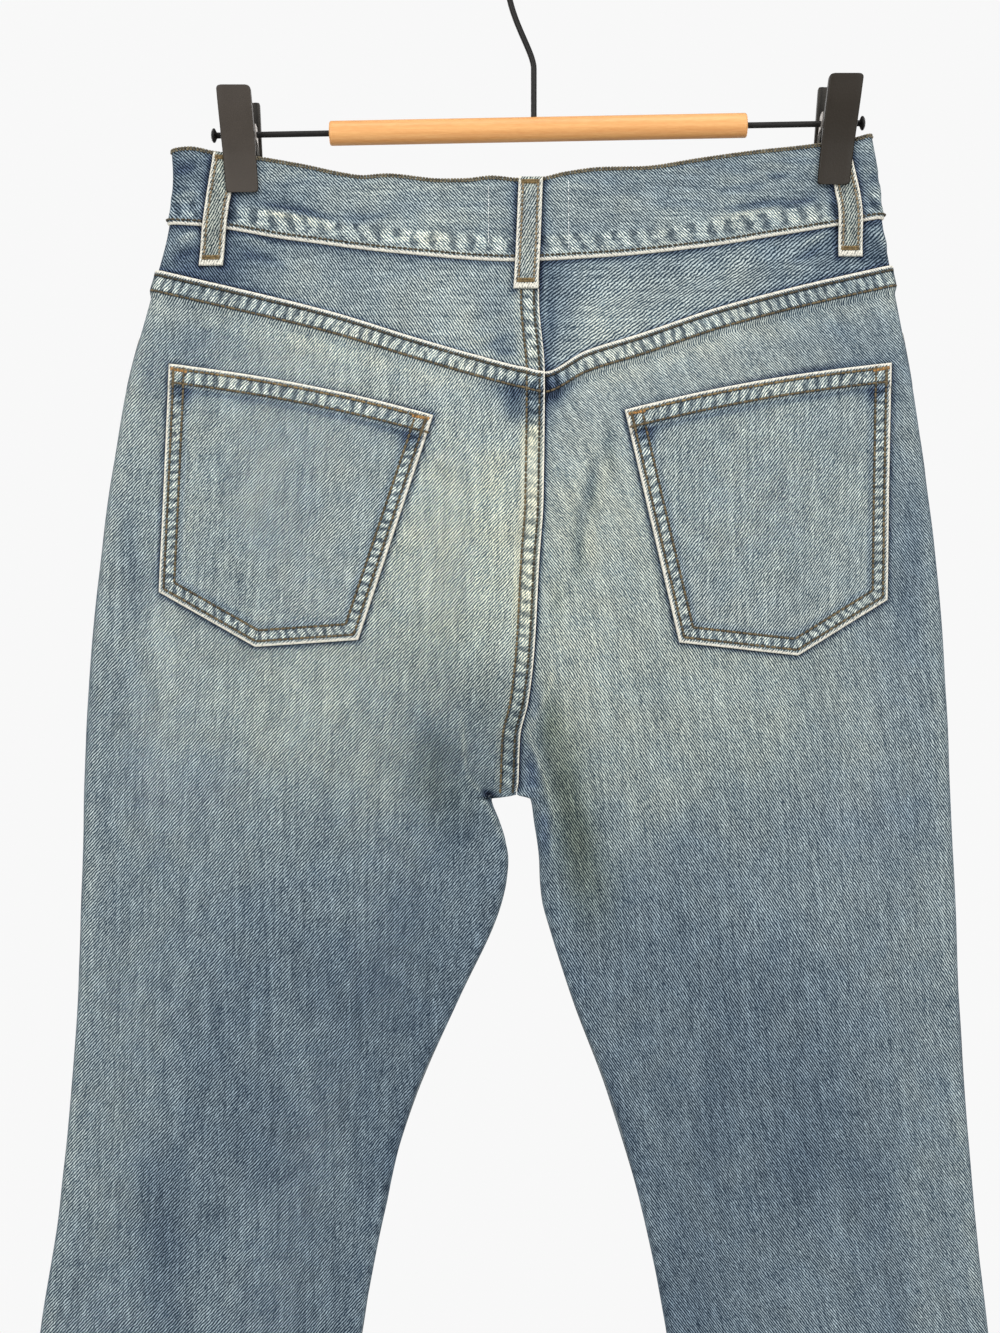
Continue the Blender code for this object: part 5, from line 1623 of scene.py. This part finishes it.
def loop_rows(threads, name):
    """Two rows down a loop and close tacks at both its ends."""
    face, line, top_z, _, end_z = loop_shape(name)

    def lift(x, z):
        return loop_lift(name, x, z)

    z = np.linspace(top_z - 3.4, end_z + LOOP_END + 0.4, 60)
    for aside in (-1, 1):
        x = follow(line, "z", "x", z) + aside * (LOOP_WIDE / 2 - 2.5)
        threads.row(*on_body(face, x, z, lift(x, z) + ON_CLOTH), STRAW, pitch=2.3, long=2.1, radius=0.55)
    reach = LOOP_WIDE / 2 - 1.7
    for height in (end_z + 3.7, end_z + 4.9, top_z - 2.4, top_z - 3.4):
        middle = float(follow(line, "z", "x", height))
        bartack(threads, face, (middle - reach, height), (middle + reach, height), 1.6, lift, GOLD)


def hem_rows(threads):
    across = np.linspace(0.006, 0.994, 300)
    z = np.full(across.shape, HEM_Z + HEM_ROWS[1])
    for half in HALVES:
        for face in ("back", "front"):
            threads.row(*on_half(half, face, across, z, 0.9 + ON_CLOTH), GOLD)


def tack_threads(threads):
    """Two pale upright rows of thread that show through the band, where its patch is sewn on inside."""
    for row_x, top_z, end_z in ((-31.5, -137, -169), (12.0, -134, -172)):
        points, normals = on_body("back", row_x, np.linspace(top_z, end_z, 40), BAND_LIFT + ON_CLOTH)
        threads.row(points, normals, WHITE, pitch=2.2, long=1.9, radius=0.22)


def stitching():
    back = Threads("topstitching_back", 5)
    yoke_rows(back)
    seat_rows(back)
    band_rows(back, "back")
    for half in HALVES:
        pocket_rows(back, half)
    hem_rows(back)
    tack_threads(back)
    back.make()
    tacks = Threads("bartacks", 6)
    for half in HALVES:
        pocket_tacks(tacks, half)
    for name in LOOPS:
        loop_rows(tacks, name)
    tacks.make()
    front = Threads("topstitching_front", 7)
    band_rows(front, "front")
    front_rows(front)
    front.make()


# ---------------------------------------------------------------- light, floor and camera

CAMERA_PLACE = (-0.0253, -1.150, -0.3986)
FRAME_HIGH = 0.73315  # height of the view in the hanger's plane
SENSOR = 36.0
FLOOR_Z, FLOOR_R = -1.5, 1.1
FLOOR_COLOUR = (0.86, 0.86, 0.85, 1)
SEEN_WHITE, LIT_WHITE = 0.94, 0.5  # the room's strength as the camera sees it, and as light
# Soft discs of light from both sides of the camera, from above and from behind: place, size and power.
LIT_MIDDLE = (0, 0, -0.5)
LIGHTS = {
    "front_left": ((-1.5, -2.2, 0.5), 1.6, 29),
    "front_right": ((1.5, -2.2, 0.5), 1.6, 29),
    "above": ((0, -0.8, 1.6), 1.2, 12),
    "behind_left": ((-1.7, 2.2, 0.4), 1.6, 22),
    "behind_right": ((1.7, 2.2, 0.4), 1.6, 22),
}


def studio():
    """A white room with soft lights, a floor well below the jeans, and the camera level with the seat."""
    scene = bpy.context.scene
    scene.world = bpy.data.worlds.new("white_room")
    scene.world.use_nodes = True
    tree = scene.world.node_tree
    background = tree.nodes["Background"]
    background.inputs["Color"].default_value = (1, 1, 1, 1)
    seen = node(tree, "ShaderNodeLightPath").outputs["Is Camera Ray"]
    strength = maths(tree, "MULTIPLY_ADD", seen, SEEN_WHITE - LIT_WHITE, LIT_WHITE)
    tree.links.new(strength, background.inputs["Strength"])
    for name, (place, size, power) in LIGHTS.items():
        data = bpy.data.lights.new(name, "AREA")
        data.shape = "DISK"
        data.size = size
        data.energy = power
        light = add_object(name, data)
        light.location = place
        light.rotation_euler = (Vector(LIT_MIDDLE) - Vector(place)).to_track_quat("-Z", "Y").to_euler()

    scene.view_settings.view_transform = "Standard"
    camera = add_object("camera", bpy.data.cameras.new("camera"))
    camera.location = CAMERA_PLACE
    camera.rotation_euler = (math.radians(90), 0, 0)
    camera.data.sensor_width = SENSOR
    camera.data.lens = SENSOR * -CAMERA_PLACE[1] / FRAME_HIGH
    scene.camera = camera

    mesh = bpy.data.meshes.new("floor")
    disc = bmesh.new()
    bmesh.ops.create_circle(disc, cap_ends=True, segments=96, radius=FLOOR_R)
    disc.to_mesh(mesh)
    disc.free()
    material, tree, shader = new_material("pale_floor", 0.8)
    shader.inputs["Base Color"].default_value = FLOOR_COLOUR
    mesh.materials.append(material)
    floor = add_object("floor", mesh)
    floor.location = (0, 0, FLOOR_Z)


# ---------------------------------------------------------------- the hanger

RAIL_TILT = math.radians(1.1)
RAIL_CENTRE = (-4.3, -103.2)
BAR_LONG, BAR_R = 229.5, 6.7
ROD_LONG, ROD_R = 360.0, 1.65
CAP_R = 3.9
WIRE_R, HOOK_R = 1.65, 21.5
STEM_X, STEM_TOP_Z = -6.7, -70.0
HOOK_FROM, HOOK_TO = math.radians(184), math.radians(-20)
NECK_BEND = (-20.3, -43.0)
CLIP_LEAN = {"left": math.radians(-4.2), "right": math.radians(6.0)}
CLIP_OFFSET = {"left": -2.1, "right": 3.1}
# A jaw's plate: how far out of the rod it lies, its height from the rod, its width and its flanges' depth.
JAW = table(
    "y z wide flange",
    (15.7, 24, 18.6, 4.2), (13.7, 12, 18.5, 5.6), (11.4, 2, 18.4, 5.4), (9.6, -6, 18.3, 3.4),
    (8.3, -14, 18.1, 1.7), (7.6, -26, 17.9, 1.6), (8, -35.5, 17.7, 1.6),
)
# Each jaw's top and foot, as heights from the rod.
JAW_ENDS = {
    ("left", "back"): (23.5, -33.2),
    ("right", "back"): (23.5, -35.4),
    ("left", "front"): (21.7, -33.0),
    ("right", "front"): (24.2, -34.8),
}
JAW_WALL, CORNER_R, BEND_R = 1.2, 2.0, 1.1
FRONT_JAW_SHIFT = {"left": 1.9, "right": -1.9}
BAR_EDGE_R = 1.3
# The rod's domed cap: distance in from its end, and radius.
CAP = ((3.6, ROD_R), (3.1, 2.0), (2.6, 3.2), (2.1, CAP_R), (1.3, CAP_R), (0.6, 3.1), (0.15, 1.8), (0.0, 0.3))
# A bracket's cheek: its outline round the rod, and its place along the rod with half its thickness.
CHEEK = (
    *((-6, 4), (-2, 5.2), (4, 4.4), (9.5, 1), (10, -5)),
    *((8.2, -10.5), (6.0, -10.5), (3.4, -5.5), (-5, -4.4)),
)
CHEEK_PLACE, CHEEK_STEPS = 7.4, (-0.6, -0.6, -0.45, 0.45, 0.6, 0.6)
BRACKET_SHIFT = {"left": 1.6, "right": -1.6}
# The spring: its coil, and the arms at its two ends.
COIL_R, COIL_HALF, COIL_TURNS, COIL_WIRE_R = 3.3, 3.6, 5, 0.55
SPRING_ARMS = (
    ((-3.8, 9.8, 9), (-3.8, 6.5, 4.5), (-3.7, 3.8, 1.2)),
    ((3.7, 3.6, -1.2), (3.8, -6.0, 4.5), (3.8, -9.4, 9)),
)
# The button's profile: height out of the cloth, and radius.
BUTTON = (
    *((-0.4, 2.5), (0.9, 2.5), (1.1, 8.2), (1.7, 8.7), (2.4, 8.6), (2.7, 8.0)),
    *((2.4, 7.2), (2.5, 6.6), (3.1, 4.4), (3.3, 2.0), (3.35, 0.2)),
)


def placed(points, half=None):
    """Points of the rail's own frame, or of one clip's, in the scene's frame."""
    points = np.asarray(points, float)
    turn, shift = -RAIL_TILT, np.array((RAIL_CENTRE[0], 0, RAIL_CENTRE[1]))
    if half:
        along = CLIP_X[half] - RAIL_CENTRE[0] + CLIP_OFFSET[half]
        shift = shift + along * np.array((math.cos(turn), 0, -math.sin(turn)))
        turn = CLIP_LEAN[half]
    x, y, z = points[..., 0], points[..., 1], points[..., 2]
    turned = (x * math.cos(turn) + z * math.sin(turn), y, z * math.cos(turn) - x * math.sin(turn))
    return np.stack(turned, -1) + shift


def round_grid(profile, sides):
    """A lathe grid about the X axis: profile rows are a place along X and a radius."""
    turn = np.linspace(0, 2 * math.pi, sides + 1)[:-1]
    along, radius = np.array(profile, float).T
    rings = [radius[:, None] * np.cos(turn), radius[:, None] * np.sin(turn)]
    return np.stack([along[:, None] + 0 * rings[0], *rings], -1)


def tube_piece(name, rings, look):
    """A closed piece through rings of points, capped at both ends."""
    piece = new_piece(name, rings.reshape(-1, 3), tube_faces(*rings.shape[:2]), materials[look])
    closed = bmesh.new()
    closed.from_mesh(piece.data)
    bmesh.ops.recalc_face_normals(closed, faces=closed.faces)
    closed.to_mesh(piece.data)
    closed.free()
    piece.data.set_sharp_from_angle(angle=math.radians(40))
    return piece


def swept(name, path, radius, look, sides):
    """A round wire along a path."""
    way = np.gradient(path, axis=0)
    way /= np.linalg.norm(way, axis=1, keepdims=True)
    first = np.cross(way, (0.05, 1.0, 0.08))
    first /= np.linalg.norm(first, axis=1, keepdims=True)
    second = np.cross(way, first)
    turn = np.linspace(0, 2 * math.pi, sides + 1)[:-1][None, :, None]
    rings = path[:, None] + radius * (np.cos(turn) * first[:, None] + np.sin(turn) * second[:, None])
    return tube_piece(name, rings, look)


def bar_and_rod():
    """The wooden bar, turned and sanded, on its black rod with a domed cap at each end."""
    turn = np.radians(np.linspace(0, 90, 6))
    half, edge = BAR_LONG / 2, BAR_EDGE_R
    end = [(half - edge + edge * math.sin(a), BAR_R - edge + edge * math.cos(a)) for a in turn]
    bore = [(half, ROD_R + 0.4), (half - 4, ROD_R + 0.35)]
    profile = [(-along, radius) for along, radius in bore[::-1] + end[::-1]]
    profile += [(along, BAR_R) for along in np.linspace(-half + 6, half - 6, 40)] + end + bore
    bar = tube_piece("wooden_bar", placed(round_grid(profile, 48)), "wood")
    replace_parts(bar, "hanger_bar")
    far = ROD_LONG / 2
    profile = [(-far + inset, radius) for inset, radius in CAP[::-1]]
    profile += [(along, ROD_R) for along in np.linspace(-far + 6, far - 6, 30)]
    profile += [(far - inset, radius) for inset, radius in CAP]
    rod = tube_piece("black_rod", placed(round_grid(profile, 24)), "black_steel")
    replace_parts(rod, "hanger_rod")


def hook():
    """The swan-necked hook: a stem, a bent neck and an arc."""
    top = np.array((0, 0, WIRE_R - HOOK_R))
    turn = np.linspace(HOOK_FROM, HOOK_TO, 60)
    arc = [top + HOOK_R * np.array((math.cos(a), 0, math.sin(a))) for a in turn]
    stem_top = np.array((STEM_X, 0, STEM_TOP_Z))
    ends = np.array((stem_top, stem_top + (0, 0, 10), (NECK_BEND[0], 0, NECK_BEND[1]), arc[0]))
    t = np.linspace(0, 1, 24)[:-1, None]
    shares = ((1 - t) ** 3, 3 * t * (1 - t) ** 2, 3 * t * t * (1 - t), t**3)
    neck = sum(point * share for point, share in zip(ends, shares))
    stem = [(STEM_X, 0, height) for height in np.linspace(RAIL_CENTRE[1] + 4.0, STEM_TOP_Z, 8)[:-1]]
    piece = swept("wire_hook", np.concatenate([stem, neck, arc]), WIRE_R, "black_steel", 16)
    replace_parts(piece, "hanger_hook")


def jaw(half, which):
    """A pressed plate with rounded corners, its sides turned in towards the other jaw."""
    side = 1 if which == "front" else -1
    top, foot = JAW_ENDS[half, which]
    ends = np.array((0, 0.15, 0.5, 1.0, 1.5, 2.0))
    z = np.concatenate([top - ends, np.linspace(top - 3, foot + 3, 30), foot + ends[::-1]])
    near_end = np.minimum(top - z, z - foot)
    corner = CORNER_R - np.sqrt(np.clip(CORNER_R**2 - np.clip(CORNER_R - near_end, 0, None) ** 2, 0, None))
    wide = follow(JAW, "z", "wide", z) / 2 - corner
    plate = follow(JAW, "z", "y", z)
    flange = follow(JAW, "z", "flange", z) * np.clip(near_end / 2.0 + 0.35, 0, 1)
    turn = np.radians(np.linspace(90, 0, 5))
    sides = []
    for inset in (0.0, JAW_WALL):
        bend = max(BEND_R - inset, 0.1)
        rows = []
        for reach, out, deep in zip(wide - inset, plate + JAW_WALL / 2 - inset, flange - inset):
            right = [(reach, out - max(deep, bend + 0.1))]
            right += [(reach - bend + bend * math.sin(a), out - bend + bend * math.cos(a)) for a in turn]
            right += [(reach * share, out) for share in (0.6, 0.3, 0.0)]
            rows.append(right + [(-x, y) for x, y in right[-2::-1]])
        x, y = np.moveaxis(np.array(rows), -1, 0)
        grid = np.stack([x, side * y, z[:, None] + x * math.tan(CLIP_LEAN[half])], -1)
        grid[..., 0] += FRONT_JAW_SHIFT[half] if which == "front" else 0.0
        sides.append(placed(grid, half))
    outer, inner = sides
    points = np.concatenate([outer.reshape(-1, 3), inner.reshape(-1, 3)])
    # the front jaws take the darker copy of the enamel, painted shade
    look = materials["clip_front_shaded" if which == "front" else f"clip_{half}"]
    piece = new_piece(f"jaw_{half}_{which}", points, [closed_faces(outer, inner)], look)
    piece.data.set_sharp_from_angle(angle=math.radians(50))
    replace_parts(piece, f"clip_{half}_{which}_jaw")


def bracket(half):
    """Two bright cheeks that join the jaws round the rod, with the spring between them."""
    outline = np.array(CHEEK)
    centre = np.tile(outline.mean(0), (len(outline), 1)) * 0.999 + outline * 0.001
    rows = (centre, outline * 0.97, outline, outline, outline * 0.97, centre)
    for hand in (-1, 1):
        along = hand * CHEEK_PLACE + np.array(CHEEK_STEPS)
        rings = np.array([np.column_stack([np.full(len(row), x), row]) for x, row in zip(along, rows)])
        rings[..., 0] += BRACKET_SHIFT[half]
        where = "inner" if hand * BRACKET_SHIFT[half] > 0 else "outer"
        tube_piece(f"cheek_{half}_{where}", placed(rings, half), "spring")
    turns = np.linspace(0, 2 * math.pi * COIL_TURNS, 120)
    along = np.linspace(-COIL_HALF, COIL_HALF, 120)
    coil = np.column_stack([along, COIL_R * np.cos(turns), COIL_R * np.sin(turns)])
    path = placed(np.concatenate([SPRING_ARMS[0], coil[6:-6], SPRING_ARMS[1]]), half)
    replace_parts(swept(f"coil_{half}", path, COIL_WIRE_R, "spring", 8), f"clip_{half}_spring")


def button():
    """A plain domed shank button on the lapped end of the band."""
    across = np.array(BUTTON_ACROSS)
    z = seam_z("waist_top", "left", "front", across) - BUTTON_DROP
    base, out = on_half("left", "front", across, z, BAND_LIFT)
    side = np.cross((0, 0, 1.0), out)
    side /= np.linalg.norm(side)
    axes = np.stack([out, side, np.cross(out, side)])
    rings = base + round_grid(BUTTON, 40) @ axes
    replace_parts(tube_piece("shank_button", rings, "copper"), "waist_button")


NODE_LOOKS = {"fly_zip": "tape", "fly_shield": "inner_denim"}


def dress_nodes():
    """The hidden CAD pieces keep their shapes and get their finished materials."""
    for name, look in NODE_LOOKS.items():
        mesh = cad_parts[name].data
        mesh.materials.clear()
        mesh.materials.append(materials[look])


studio()
dress_nodes()
for half_name in HALVES:
    back_panel(half_name)
    yoke(half_name)
    front_panel(half_name)
    pocket_facing(half_name)
    back_pocket(half_name)
waistband()
for loop_name in LOOPS:
    belt_loop(loop_name)
stitching()
bar_and_rod()
hook()
for half_name in HALVES:
    jaw(half_name, "back")
    jaw(half_name, "front")
    bracket(half_name)
button()
